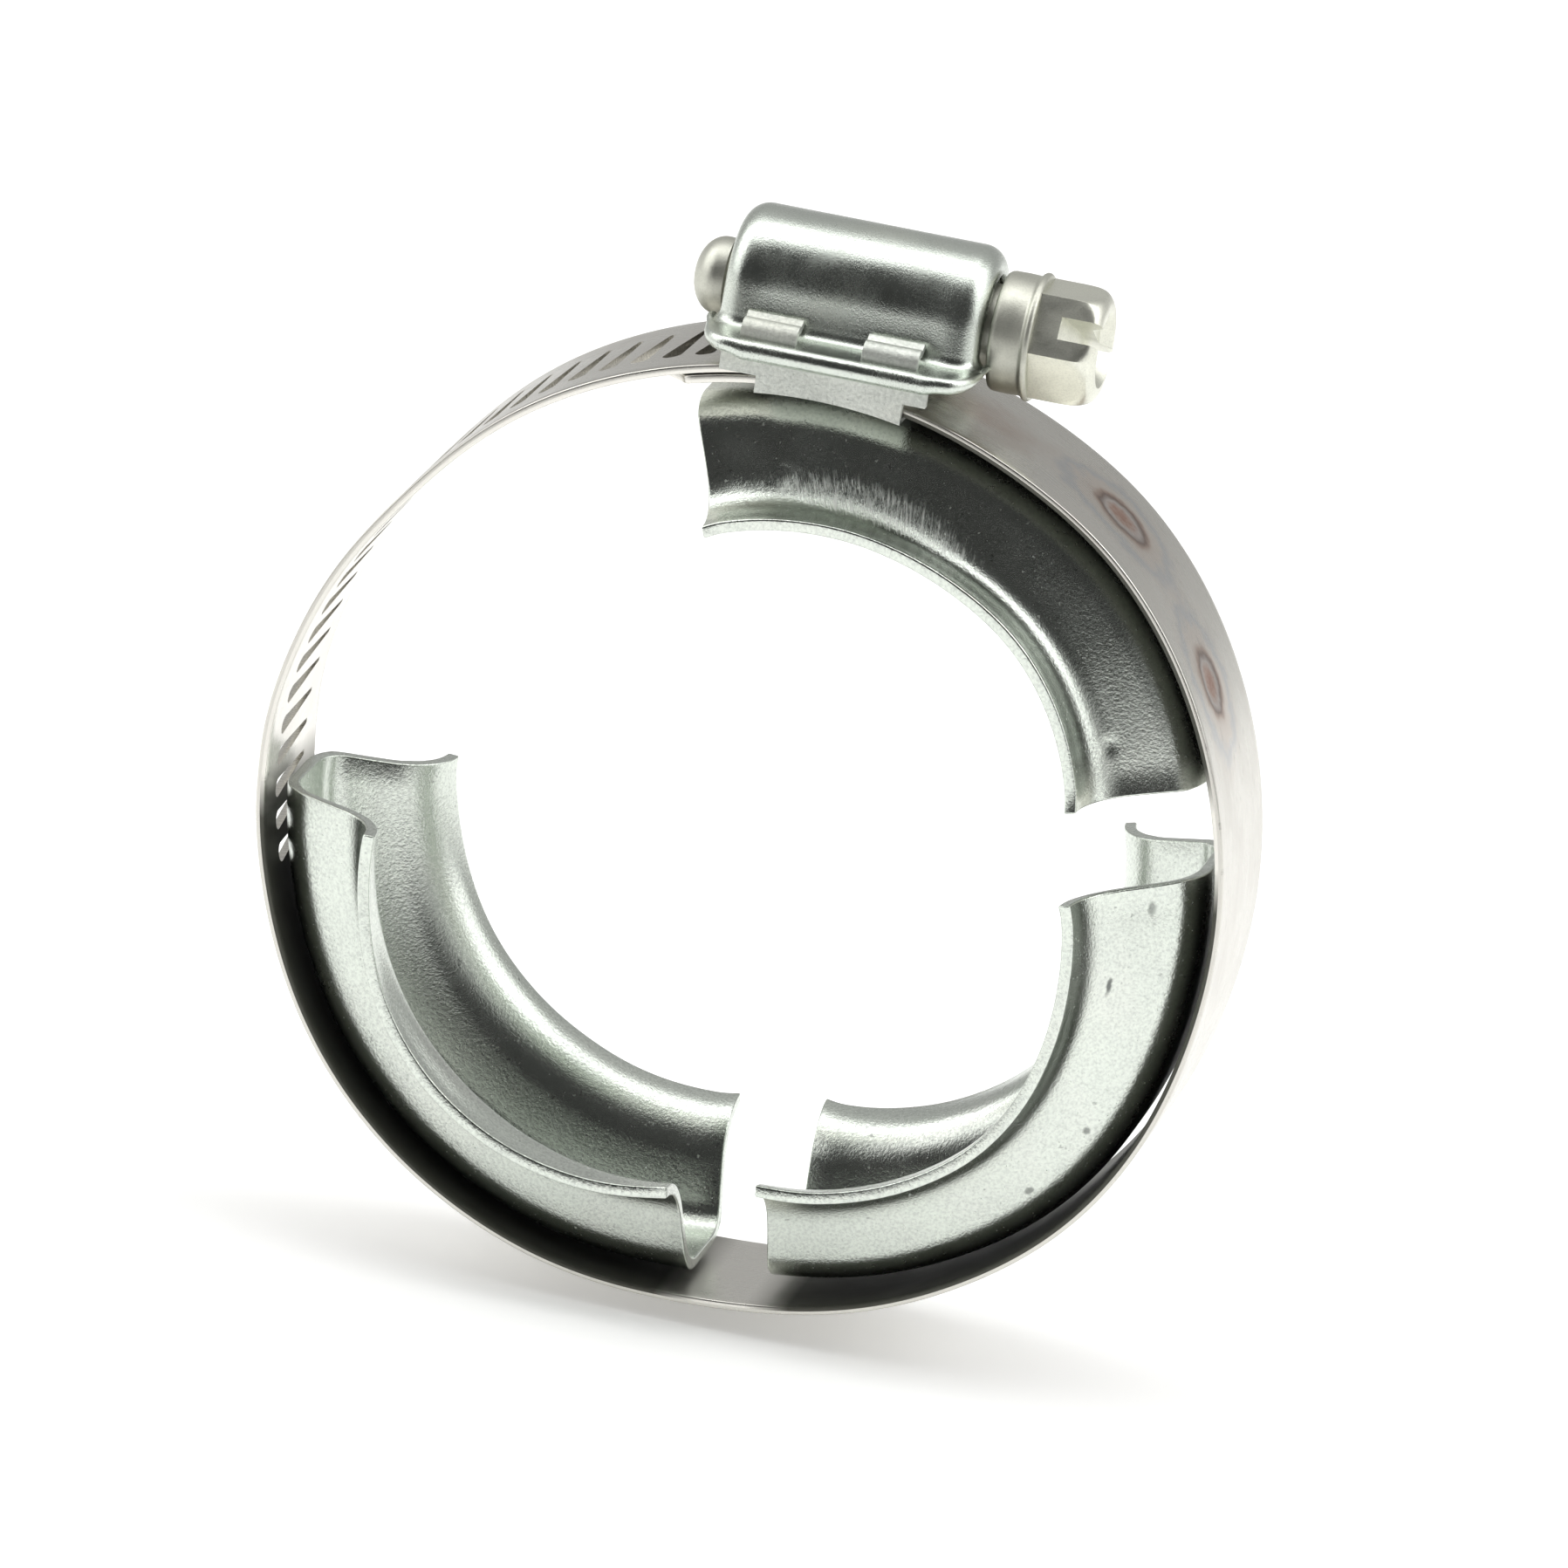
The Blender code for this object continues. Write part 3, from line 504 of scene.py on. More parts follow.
def band_material(name, welds=(), stain=0.0, painted_inner_shade_spans=()):
    """Rolled stainless strip: fine lengthwise grain, warm tint, heat-tinted welds."""
    s = Shader(name)
    uv = s.place("grain", (1.0, 1.0, 1.0))
    grain = s.noise(s.place("grain", (0.22, 16.0, 1.0)), detail=6.0, rough=0.7)
    broad = s.noise(s.place("grain", (0.10, 1.6, 1.0), (3.0, 1.0, 0.0)), detail=4.0)
    cloud = s.noise(s.place("grain", (0.16, 0.22, 1.0), (9.0, 4.0, 0.0)), detail=4.0, distortion=0.5)
    micro = s.noise(s.place("object", (5200.0,) * 3), detail=3.0, rough=0.65)
    tint = (0.655, 0.645, 0.590)
    colour = s.mix(s.spread(grain, 0.32, 0.70, 0.0, 0.45), tint, (0.575, 0.55, 0.53))
    colour = s.mix(s.spread(broad, 0.45, 0.72, 0.0, 0.35), colour, (0.70, 0.675, 0.65))
    colour = s.mix(s.spread(cloud, 0.50, 0.75, 0.0, 0.35), colour, (0.59, 0.555, 0.52))
    roughness = s.spread(grain, 0.30, 0.72, 0.20, 0.34)
    roughness = s.add(roughness, s.spread(cloud, 0.35, 0.75, -0.02, 0.08))
    normal = s.bump(grain, 0.0032 * MM)
    normal = s.bump(micro, 0.0028 * MM, normal)
    if welds:
        edge = s.spread(s.noise(s.place("grain", (0.35, 0.5, 1.0), (5.0, 1.0, 0.0)), detail=3.0),
                        0.2, 0.8, -0.35, 0.35)
        heat = s.spread(s.spot(uv, HEAT_AT, (6.0, 4.5), edge), 0.15, 1.1, 0.6, 0.0)
        colour = s.mix(heat, colour, (0.47, 0.365, 0.30))
    for index, (centre, angle) in enumerate(welds):
        wobble_at = s.place("grain", (0.5, 0.5, 1.0), (*centre, float(index)))
        wobble = s.spread(s.noise(wobble_at, detail=3.0), 0.2, 0.8, -0.16, 0.16)
        ring = s.spot(uv, centre, (2.6, 2.2), wobble)
        halo = s.spot(uv, centre, (8.0, 5.5), wobble)
        warm = s.spread(halo, 0.25, 1.0, 0.55, 0.0)
        colour = s.mix(warm, colour, (0.54, 0.445, 0.385))
        blue = s.ramp(s.times(halo, 0.5), [(0.27, 0.0), (0.34, 0.55), (0.42, 0.0)])
        colour = s.mix(blue, colour, (0.42, 0.46, 0.50))
        mark = s.ramp(s.times(ring, 0.5), [
            (0.0, (0.34, 0.20, 0.155)), (0.20, (0.40, 0.29, 0.24)), (0.33, (0.45, 0.42, 0.40)),
            (0.43, (0.17, 0.12, 0.10)), (0.50, (0.38, 0.29, 0.24)), (0.60, (0.52, 0.46, 0.41))])
        cover = s.spread(ring, 1.02, 1.28, 0.92, 0.0)
        blotch = s.noise(s.place("grain", (2.6, 2.6, 1.0), (*centre, 2.0)), detail=4.0)
        colour = s.mix(cover, colour, mark)
        inner = s.times(s.spread(ring, 0.3, 0.8, 0.6, 0.0), s.spread(blotch, 0.45, 0.6, 0.0, 1.0))
        colour = s.mix(inner, colour, (0.30, 0.17, 0.13))
        roughness = s.add(roughness, s.spread(ring, 0.6, 1.3, 0.14, 0.0))
        swirl_at = s.node("ShaderNodeMapping", {
            "Vector": uv, "Location": (centre[0] + angle, centre[1] + 9.0, 0.0)}, vector_type="TEXTURE")
        swirl = s.node("ShaderNodeTexWave", {
            "Vector": swirl_at.outputs[0], "Scale": 0.55, "Distortion": 1.2, "Detail": 2.0},
            wave_type="RINGS", rings_direction="Z")
        faint = s.times(swirl.outputs["Fac"], s.spread(halo, 0.3, 1.2, 1.0, 0.0))
        normal = s.bump(faint, 0.0016 * MM, normal)
    if stain > 0.0:
        smear = s.noise(s.place("grain", (0.5, 1.5, 1.0), (1.0, 7.0, 0.0)), detail=6.0, rough=0.75)
        mask = s.spread(smear, 0.60, 0.68, 0.0, stain)
        colour = s.mix(mask, colour, (0.36, 0.35, 0.33))
        roughness = s.add(roughness, s.times(mask, 0.2))
    # painted light and painted shade on the strip's inner face
    colour, roughness = dull_inside_painted_light_and_shade(s, uv, colour, roughness, painted_inner_shade_spans)
    return s.set(colour, roughness, normal)


def screw_material(name, dull=0.0):
    """Turned and zinc-plated steel, very slightly yellow, satin."""
    s = Shader(name)
    tint = tuple(c * (1.0 - 0.40 * dull) for c in (0.80, 0.805, 0.71))
    fine = s.noise(s.place("object", (7000.0,) * 3), detail=3.0, rough=0.7)
    cloud = s.noise(s.place("object", (420.0,) * 3, (1.0, 2.0, 3.0)), detail=5.0)
    tool = s.noise(s.place("grain", (0.25, 8.0, 1.0)), detail=4.0, rough=0.7)
    colour = s.mix(s.spread(cloud, 0.35, 0.70, 0.0, 0.6), tint, tuple(c * 0.80 for c in tint))
    colour = s.mix(s.spread(fine, 0.45, 0.75, 0.0, 0.3), colour, (0.30, 0.30, 0.27))
    roughness = s.spread(cloud, 0.30, 0.70, 0.32 + 0.08 * dull, 0.46 + 0.10 * dull)
    normal = s.bump(fine, 0.010 * MM * (1.0 + dull))
    normal = s.bump(cloud, 0.020 * MM, normal)
    normal = s.bump(tool, 0.004 * MM, normal)
    return s.set(colour, roughness, normal)


# ---- band pieces ------------------------------------------------------------
def polar(centre, radius, deg, y):
    a = np.radians(deg)
    deg_shape = np.broadcast(radius, a, y).shape
    return np.stack([np.broadcast_to(centre.x + radius * np.cos(a), deg_shape),
                     np.broadcast_to(y, deg_shape),
                     np.broadcast_to(centre.z + radius * np.sin(a), deg_shape)], -1)


def strip_profile(cells_across):
    """Strip section as (across from -1 to 1, depth below the outer face, edge inset)."""
    e = BAND_EDGE
    face = np.linspace(-1.0, 1.0, cells_across + 1)
    pts = [(t, 0.0, e) for t in face]
    pts += [(1.0, e - e * math.cos(a), e - e * math.sin(a)) for a in np.radians((30, 60, 90))]
    pts += [(1.0, BAND_T - e + e * math.sin(a), e - e * math.cos(a)) for a in np.radians((0, 30, 60, 90))]
    pts += [(t, BAND_T, e) for t in face[::-1][1:]]
    pts += [(-1.0, BAND_T - e + e * math.cos(a), e - e * math.sin(a)) for a in np.radians((30, 60, 90))]
    pts += [(-1.0, e - e * math.sin(a), e - e * math.cos(a)) for a in np.radians((0, 30, 60))]
    return np.array(pts)


def angle_on(centre, ring_angle):
    """Direction, about another centre, of a point on the ring."""
    mid = BAND_R + float(ring_bow(ring_angle)) - BAND_T / 2.0
    x = mid * math.cos(math.radians(ring_angle)) - centre.x
    z = mid * math.sin(math.radians(ring_angle)) - centre.z
    return math.degrees(math.atan2(z, x)) % 360.0


def fixed_radius(deg):
    """Ring radius of the right-hand stretch, which dips under the slotted one."""
    a = np.radians(deg)
    lane = LANE_R + TAIL_C.x * np.cos(a) + TAIL_C.z * np.sin(a)
    soft = 0.05 * MM
    radius = BAND_R + ring_bow(deg)
    dip = smooth_step((np.asarray(deg) - BOW_FADE[0]) / BOW_FADE[1])
    return radius - dip * soft * np.logaddexp(0.0, (radius - lane) / soft)


def strip_grid(centres, radii, degs, halves, cells_across, dents=()):
    """Point grid of a curved strip; dents are (arc in m, y, radius, depth)."""
    profile = strip_profile(cells_across)
    rows = []
    arc_length = np.radians(degs) * BAND_R
    for centre, radius, deg, half, place in zip(centres, radii, degs, halves, arc_length):
        y = profile[:, 0] * (half - profile[:, 2])
        bump = 0.012 * MM * ripple(place, y, 3, 16.0 * MM)
        for at, dy, size, depth in dents:
            d = np.hypot(place - at, y - dy) / size
            bump = bump - depth * (1.0 - smooth_step(d)) + 0.35 * depth * np.exp(-((d - 1.05) / 0.22) ** 2)
        rows.append(polar(centre, radius - profile[:, 1] + bump, deg, y))
    return np.array(rows), arc_length, profile


def strip_uv(profile):
    """Across coordinate: y on the outer face, shifted away on the inner one."""
    around = profile[:, 0] * BAND_HALF
    around = np.where(profile[:, 1] > BAND_T / 2.0, 60.0 * MM - around, around)
    return np.append(around, around[0])


def band_piece(name, material, centres, radii, degs, halves, cells_across, corner=None, dents=()):
    """One stretch of the strip; corner is the row where its two arcs meet."""
    grid, along, profile = strip_grid(centres, radii, degs, halves, cells_across, dents=dents)
    if corner is not None:
        grid = blend_corner(grid, corner)
    return finish_mesh(name, skin(name, grid, along, strip_uv(profile)), material)


def make_band(weld_list):
    steel_right = band_material("stainless_right", [(w[:2], w[2]) for w in weld_list], stain=0.55,
                                painted_inner_shade_spans=((RET_1[0], SHADE_END), RET_2))
    steel_plain = band_material("stainless_plain", painted_inner_shade_spans=(RET_2, tuple(a - 360.0 for a in RET_3)))
    steel_slots = band_material("stainless_slotted", stain=0.3, painted_inner_shade_spans=(RET_3,))

    # right-hand piece: hidden tongue, welds, first flex point
    degs = np.arange(TONGUE_END, SEAM_RIGHT - 0.01, -0.5)
    degs[-1] = SEAM_RIGHT
    past = np.maximum(0.0, degs - (TONGUE_END - TONGUE_TAPER)) / TONGUE_TAPER
    halves = BAND_HALF - past * 4.0 * MM
    dents = [(u * MM, v * MM, 2.1 * MM, 0.05 * MM) for u, v, _ in weld_list]
    right = band_piece("band_plain_side", steel_right, [ORIGIN] * len(degs), fixed_radius(degs), degs,
                       halves, 34, dents=dents)
    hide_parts("band_fixed_stretch", "band_lower_stretch")

    # bottom piece with the second flex point
    degs = np.linspace(SEAM_RIGHT, SEAM_LEFT - 360.0, 191)
    bottom = band_piece("band_bottom", steel_plain, [ORIGIN] * len(degs), BAND_R + ring_bow(degs), degs,
                        [BAND_HALF] * len(degs), 20)
    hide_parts("band_lower_stretch", "band_left_stretch")

    # left piece: third flex point, slotted stretch and its free end
    left_hinge = math.degrees(math.atan2(HINGES["flex_left"].z, HINGES["flex_left"].x)) % 360.0
    tail_hinge = angle_on(TAIL_C, left_hinge)
    ring_degs = np.arange(SEAM_LEFT, left_hinge, -0.5)
    tail_degs = np.append(np.arange(tail_hinge, TAIL_END, -0.5), TAIL_END)
    centres = [ORIGIN] * len(ring_degs) + [TAIL_C] * len(tail_degs)
    radii = np.append(BAND_R + ring_bow(ring_degs), TAIL_R + bows(TAIL_BOWS, tail_degs))
    all_degs = np.concatenate([ring_degs, tail_degs])
    left = band_piece("band_slotted_side", steel_slots, centres, radii, all_degs,
                      [BAND_HALF] * len(all_degs), 16, corner=len(ring_degs))
    cut(left, slot_mesh(left_hinge, tail_hinge))
    left.data.set_sharp_from_angle(angle=math.radians(35.0))
    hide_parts("band_left_stretch", "band_slotted_tail")

    bend_between(right)
    bend_between(bottom)
    bend_between(left)


def blend_corner(grid, joint, reach=12):
    """Ease the small change of centre between the two arcs of the left piece."""
    kernel = np.ones(9) / 9.0
    smooth = grid.copy()
    low, high = joint - reach, joint + reach
    for c in range(3):
        for j in range(grid.shape[1]):
            line = grid[low - 4:high + 4, j, c]
            straight = np.linspace(line[0], line[-1], len(line))
            smooth[low:high, j, c] = (np.convolve(line - straight, kernel, "valid") + straight[4:-4])
    return smooth


def bend_between(piece):
    """Bake the piece's placement into its mesh."""
    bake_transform(piece)


def slot_mesh(left_hinge, tail_hinge):
    """Teardrop punches through the slotted stretch and the last four behind it."""
    step = math.degrees(SLOT_PITCH / TAIL_R)
    ring_step = math.degrees(SLOT_PITCH / BAND_R)
    places = [(TAIL_C, TAIL_R, SLOT_ZERO + i * step) for i in range(-6, 19)]
    after = SLOT_ZERO + 19 * step - tail_hinge
    places += [(ORIGIN, BAND_R, left_hinge + after + i * ring_step) for i in range(4)]
    front = arc(0.0, -SLOT_HALF + SLOT_FRONT_R, SLOT_FRONT_R, 180.0, 360.0, 12)
    rear = arc(0.0, SLOT_HALF - SLOT_REAR_R, SLOT_REAR_R, 0.0, 180.0, 6)
    outline = np.vstack([front, rear])
    outline[:, 0] += outline[:, 1] * SLOT_LEAN / (2.0 * SLOT_HALF)
    parts = []
    for centre, radius, deg in places:
        turned = deg - np.degrees(outline[:, 0] / radius)
        grid = [polar(centre, radius + d, turned, outline[:, 1]) for d in (-1.6 * MM, 1.0 * MM)]
        parts.append(skin("punch", grid))
    return join_meshes("punches", parts)


# ---- retainers --------------------------------------------------------------
def retainer_midline():
    """Half section as (y, ring radius), from the base's middle to the lip's edge."""
    top = RET_TOP - RET_T / 2.0
    lean = math.radians(RET_FLANK)
    corner = arc(RET_BASE_HALF, top - RET_CORNER, RET_CORNER, 90.0, RET_FLANK, 10)
    fy, fr = corner[-1]
    bend_y = fy + (fr - RET_BEND_R) * math.tan(lean)
    cy = bend_y + RET_BEND * math.cos(lean)
    cr = RET_BEND_R + RET_BEND * math.sin(lean)
    bend = arc(cy, cr, RET_BEND, 180.0 + RET_FLANK, 270.0 - RET_LIP_SLOPE, 14)
    base = np.stack([np.linspace(0.0, RET_BASE_HALF, 9), np.full(9, top)], -1)
    flank = np.linspace(corner[-1], bend[0], 14)[1:-1]
    edge = np.linspace(bend[-1], (RET_LIP_Y, RET_LIP_R), 4)[1:]
    return np.vstack([base[:-1], corner, flank, bend, edge])


def sheet_section(mid, thickness, edge):
    """Closed section of a bent sheet with rounded free edges."""
    slope = np.gradient(mid, axis=0)
    slope /= np.linalg.norm(slope, axis=1)[:, None]
    normal = np.stack([-slope[:, 1], slope[:, 0]], -1)
    half = thickness / 2.0
    outer = mid + normal * half
    inner = mid - normal * half
    ends = []
    for index, sign in ((-1, 1.0), (0, -1.0)):
        tip = []
        for a in np.radians((90.0, 60.0, 30.0, 0.0)):
            tip.append((edge * math.cos(a) - edge, half - edge + edge * math.sin(a)))
        for a in np.radians((0.0, -30.0, -60.0, -90.0)):
            tip.append((edge * math.cos(a) - edge, -(half - edge) + edge * math.sin(a)))
        along = slope[index] * sign
        up = normal[index]
        pts = [mid[index] + along * t + up * s for t, s in tip]
        ends.append(pts if sign > 0 else pts[::-1])
    return np.vstack([outer[1:-1], ends[0], inner[1:-1][::-1], ends[1]])


def lip_flare(lips, y, t):
    """Radial shift of the bend and lip; more at the middle than at the ends."""
    middle = np.where(y < 0.0, lips[0], lips[2])
    end = np.where(y < 0.0, lips[1], lips[3])
    share = smooth_step((np.abs(y) - 6.2 * MM) / (RET_LIP_Y - 6.2 * MM))
    return share * (end + (middle - end) * math.sin(math.pi * t)) * MM


def make_retainer(name, body, node, start, end, centre, lips, stand_off, dents, scuff, nicks, seed):
    """V-section segment between two ring angles.

    lips opens the front and back lip (middle, end; mm); stand_off lifts the middle
    and the ends off the strip; dents are (angle, y, r, size, depth)."""
    half = retainer_midline()
    mid = np.vstack([(half * (-1.0, 1.0))[::-1][:-1], half])
    section = sheet_section(mid, RET_T, 0.16 * MM)
    y, r = section[:, 0], section[:, 1]
    first, last = angle_on(centre, start), angle_on(centre, end)
    if first > last:
        first -= 360.0
    span = RET_TOP - RET_LIP_R
    short = RET_SHRINK * np.clip((RET_TOP - RET_T - r) / span, 0.0, 1.0)
    steps = 150
    rows = []
    for i in range(steps + 1):
        t = i / steps
        degs = first + short + (last - first - 2.0 * short) * t
        place = np.radians(degs) * RET_TOP
        close = min(t, 1.0 - t) * (last - first) * math.radians(1.0) * RET_TOP
        flare = 0.28 * MM * max(0.0, 1.0 - close / (2.6 * MM)) ** 2
        away = (stand_off[0] + (stand_off[1] - stand_off[0]) * (2.0 * t - 1.0) ** 2) * MM
        radial = r + ring_bow(degs) + lip_flare(lips, y, t) - away
        radial = radial + 0.012 * MM * ripple(place, y, seed, 11.0 * MM)
        side = np.sign(y) * np.clip((np.abs(y) - RET_BASE_HALF) / (2.0 * MM), 0.0, 1.0)
        shift = y + side * (flare + 0.05 * MM * ripple(place, r, seed + 1, 19.0 * MM))
        radial = radial - 0.5 * flare * np.clip((RET_TOP - r) / span, 0.0, 1.0) * 0.6
        for angle, dy, dr, size, depth in dents:
            gap = np.radians(degs - angle) * r
            d = np.sqrt((gap / size) ** 2 + ((y - dy) / size) ** 2 + ((r - dr) / size) ** 2)
            push = depth * (1.0 - smooth_step(d))
            shift = shift - np.sign(dy) * push
        rows.append(polar(centre, radial, degs, shift))
    grid = np.array(rows)
    length = np.linspace(math.radians(first) * BAND_R, math.radians(last) * BAND_R, steps + 1)
    across = running(np.vstack([section, section[:1]]))
    # where the painted shade on the corners fades out
    ends = ((length[0], 5.0), (length[-1], -5.0))
    mat = retainer_material(name + "_plate", [(a / MM, b) for a, b in ends], scuff, nicks)
    obj = finish_mesh(name, skin(name, grid, length, across), mat, angle=40.0)
    soften(obj, 0.20 * MM, angle=50.0, segments=3)
    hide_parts(node)
    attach(obj, body)
    return obj


# ---- cover ------------------------------------------------------------------
def cover_stations():
    """Path of the pressed dome from one screw hole to the other.

    Each entry is (x, radius, plan angle, flange reach, bead size)."""
    round_ = COVER_ROUND
    side = []
    for r in np.linspace(COVER_HOLE, COVER_R - round_, 6)[:-1]:
        side.append((COVER_HALF, r, 90.0, 0.55 * MM, 0.25))
    for a in np.linspace(0.0, 90.0, 12):
        x = COVER_HALF - round_ + round_ * math.cos(math.radians(a))
        r = COVER_R - round_ + round_ * math.sin(math.radians(a))
        t = float(smooth_step(a / 90.0))
        side.append((x, r, 90.0 - a, (0.55 + 2.05 * t ** 2) * MM, 0.25 + 0.55 * t))
    for x in np.linspace(COVER_HALF - round_, 0.0, 24)[1:]:
        t = float(smooth_step((COVER_HALF - round_ - x) / (1.4 * MM)))
        side.append((x, COVER_R, 0.0, (2.60 + 0.15 * t) * MM, 0.80 + 0.20 * t))
    return side + [(-x, r, a, reach, bead) for x, r, a, reach, bead in side[::-1][1:]]


def cover_line(x, radius, plan, reach, bead):
    """Half section from the crown down to the curled edge, on the front side."""
    turn = math.radians(plan)
    out = Vector((math.copysign(math.sin(turn), x) if plan > 0 else 0.0, -math.cos(turn), 0.0))
    inside = COVER_HALF - COVER_ROUND - abs(x)
    waist = 0.30 * MM * float(smooth_step(inside / (2.2 * MM)))
    pts = []
    lean = math.radians(COVER_LEAN)
    for a in np.linspace(math.pi / 2.0, lean, 17):
        flat = waist * (1.0 - math.sin(a))
        pts.append(Vector((x, -radius * math.cos(a) + flat, COVER_Z + radius * math.sin(a))))
    fillet = 0.80 * MM
    low = FLANGE_TOP
    start = pts[-1]
    for z in np.linspace(start.z, low + fillet, 9)[1:]:
        sag = 0.25 * waist * math.sin(math.pi * (start.z - z) / (start.z - low))
        pts.append(Vector((x, start.y - (start.z - z) * math.tan(lean) + sag, z)))
    foot = pts[-1]
    for a in np.radians(np.linspace(0.0, 90.0, 8))[1:]:
        step = fillet * (1.0 - math.cos(a)) * min(1.0, reach / fillet)
        pts.append(foot + out * step + Vector((0.0, 0.0, -fillet * math.sin(a))))
    start = pts[-1]
    far = max(reach - fillet, 0.05 * MM)
    for t in (0.5, 1.0):
        pts.append(start + out * far * t - Vector((0.0, 0.0, (BEAD_DROP - 0.30 * MM) * bead * t * t)))
    centre = pts[-1] + Vector((0.0, 0.0, -BEAD_R * bead))
    for a in np.radians(np.linspace(90.0, -170.0, 19))[1:]:
        spot = out * BEAD_R * bead * math.cos(a) + Vector((0.0, 0.0, BEAD_R * bead * math.sin(a)))
        pts.append(centre + spot)
    return pts


def make_cover():
    rows = []
    for x, radius, plan, reach, bead in cover_stations():
        front = cover_line(x, radius, plan, reach, bead)
        back = [Vector((p.x, -p.y, p.z)) for p in front[1:]]
        line = front[::-1] + back
        rows.append([(p.x + COVER_X, p.y, p.z) for p in line])
    mat = plated_material("bright_plate", (0.69, 0.735, 0.675), 0.18, grain=0.15, speckle=1.2)
    mesh = skin("housing_cover", np.array(rows), closed=False, caps=False)
    cover = finish_mesh("housing_cover", mesh, mat, angle=60.0)
    thicken(cover, COVER_T * 0.85, -1.0)
    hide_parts("cover_housing")
    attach(cover, "frame")


def thicken(obj, thickness, offset):
    mod = obj.modifiers.new("sheet", "SOLIDIFY")
    mod.thickness = thickness
    mod.offset = offset
    mod.use_even_offset = True


# ---- saddle -----------------------------------------------------------------
def saddle_floor(x):
    top = LANE_R - BAND_T - 0.05 * MM - FLOOR_T
    return TAIL_C.z + math.sqrt(top * top - (x - TAIL_C.x) ** 2)


def plate(outline, low, high, axis="Y"):
    """Flat plate from an outline in the plane across the given axis."""
    def spot(a, b, c):
        return {"X": (c, a, b), "Y": (a, c, b), "Z": (a, b, c)}[axis]
    grid = [[spot(a, b, c) for a, b in outline] for c in (low, high)]
    return skin("plate", np.array(grid))


def tab_profile():
    """Section of one folded tab as a rounded centre line in (y, z), front side."""
    y_wall = WALL_OUT - WALL_T / 2.0
    knee = arc(-(y_wall - 0.75 * MM), FLANGE_TOP + 0.10 * MM, 0.75 * MM, 180.0, 62.0, 10)
    start = np.array([[-y_wall, FLANGE_TOP - 1.6 * MM]])
    rise = math.radians(30.0)
    direction = np.array([math.cos(rise), math.sin(rise)])
    tip = knee[-1] + direction * 0.85 * MM
    return np.vstack([start, knee, np.linspace(knee[-1], tip, 4)[1:]])


def make_saddle():
    left, right = 8.3 * MM, 7.2 * MM
    half = 5.5 * MM
    z_step = 35.95 * MM
    z_top = FLANGE_TOP - COVER_T - 0.12 * MM
    x0 = AXLE.x
    xs = np.linspace(x0 - half, x0 + half, 15)
    top_arc = [(x, saddle_floor(x) + FLOOR_T) for x in xs]
    low_arc = [(x, saddle_floor(x)) for x in xs]
    parts = [plate(top_arc + low_arc[::-1], -WALL_OUT + 0.1 * MM, WALL_OUT - 0.1 * MM)]
    wall = low_arc + [(x0 + half, z_step), (x0 + right, z_step), (x0 + right, z_top)]
    wall += [(x0 - left, z_top), (x0 - left, z_step), (x0 - half, z_step)]
    for side in (-1.0, 1.0):
        low, high = sorted((side * (WALL_OUT - WALL_T), side * WALL_OUT))
        parts.append(plate(wall, low, high))
    section = sheet_section(tab_profile(), 0.55 * MM, 0.12 * MM)
    for side in (-1.0, 1.0):
        for sx in (-1.0, 1.0):
            x = TAB_MID + sx * TAB_X
            outline = [(y * -side, z) for y, z in section]
            parts.append(plate(outline, x - TAB_HALF, x + TAB_HALF, axis="X"))
    mat = plated_material("dull_plate", (0.76, 0.785, 0.73), 0.44, grain=0.26, speckle=1.5, scuffs=1.6)
    obj = finish_mesh("housing_saddle", join_meshes("housing_saddle", parts), mat, angle=30.0)
    soften(obj, 0.10 * MM, angle=40.0, segments=2)
    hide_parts("saddle")
    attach(obj, "frame")
    return obj


# ---- screw ------------------------------------------------------------------
def lathe(name, profile, steps=96):
    """Turned shape about the screw axis from (x, radius) pairs, ends closed."""
    a = np.linspace(0.0, 2.0 * math.pi, steps, endpoint=False)
    rows = []
    for x, r in profile:
        rows.append(np.stack([np.full(steps, x), r * np.cos(a), AXLE.z + r * np.sin(a)], -1))
    along = running(np.array(profile))
    across = np.linspace(0.0, 2.0 * math.pi * 4.0 * MM, steps + 1)
    return skin(name, np.array(rows), along, across)


def worm_mesh():
    per_turn = 48
    turns = 2.0 * WORM_HALF / SLOT_PITCH
    count = int(per_turn * turns)
    step = math.degrees(SLOT_PITCH / TAIL_R)
    slot_angle = math.radians(SLOT_ZERO + round((90.0 - SLOT_ZERO) / step) * step)
    phase = TAIL_C.x + TAIL_R * math.cos(slot_angle)
    rows = []
    for i in range(count + 1):
        t = i / count
        x = AXLE.x + WORM_HALF * (2.0 * t - 1.0)
        a = -math.pi / 2.0 + (x - phase) / SLOT_PITCH * 2.0 * math.pi
        grow = min(1.0, t * turns * 2.0, (1.0 - t) * turns * 2.0)
        crest = CORE_R - 0.25 * MM + (WORM_R - CORE_R + 0.25 * MM) * grow
        ring = []
        for dx, r in ((-0.62, CORE_R - 0.5 * MM), (-0.24, crest - 0.06 * MM), (-0.16, crest),
                      (0.16, crest), (0.24, crest - 0.06 * MM), (0.62, CORE_R - 0.5 * MM)):
            ring.append((x + dx * MM, r * math.cos(a), AXLE.z + r * math.sin(a)))
        rows.append(ring)
    return skin("worm", np.array(rows))


def hex_radius(angle_deg, apothem, limit):
    off = np.radians(np.mod(angle_deg, 60.0) - 30.0)
    flat = apothem / np.cos(off)
    soft = 0.06 * MM
    return -soft * np.log(np.exp(-flat / soft + 60.0) + np.exp(-limit / soft + 60.0)) + 60.0 * soft


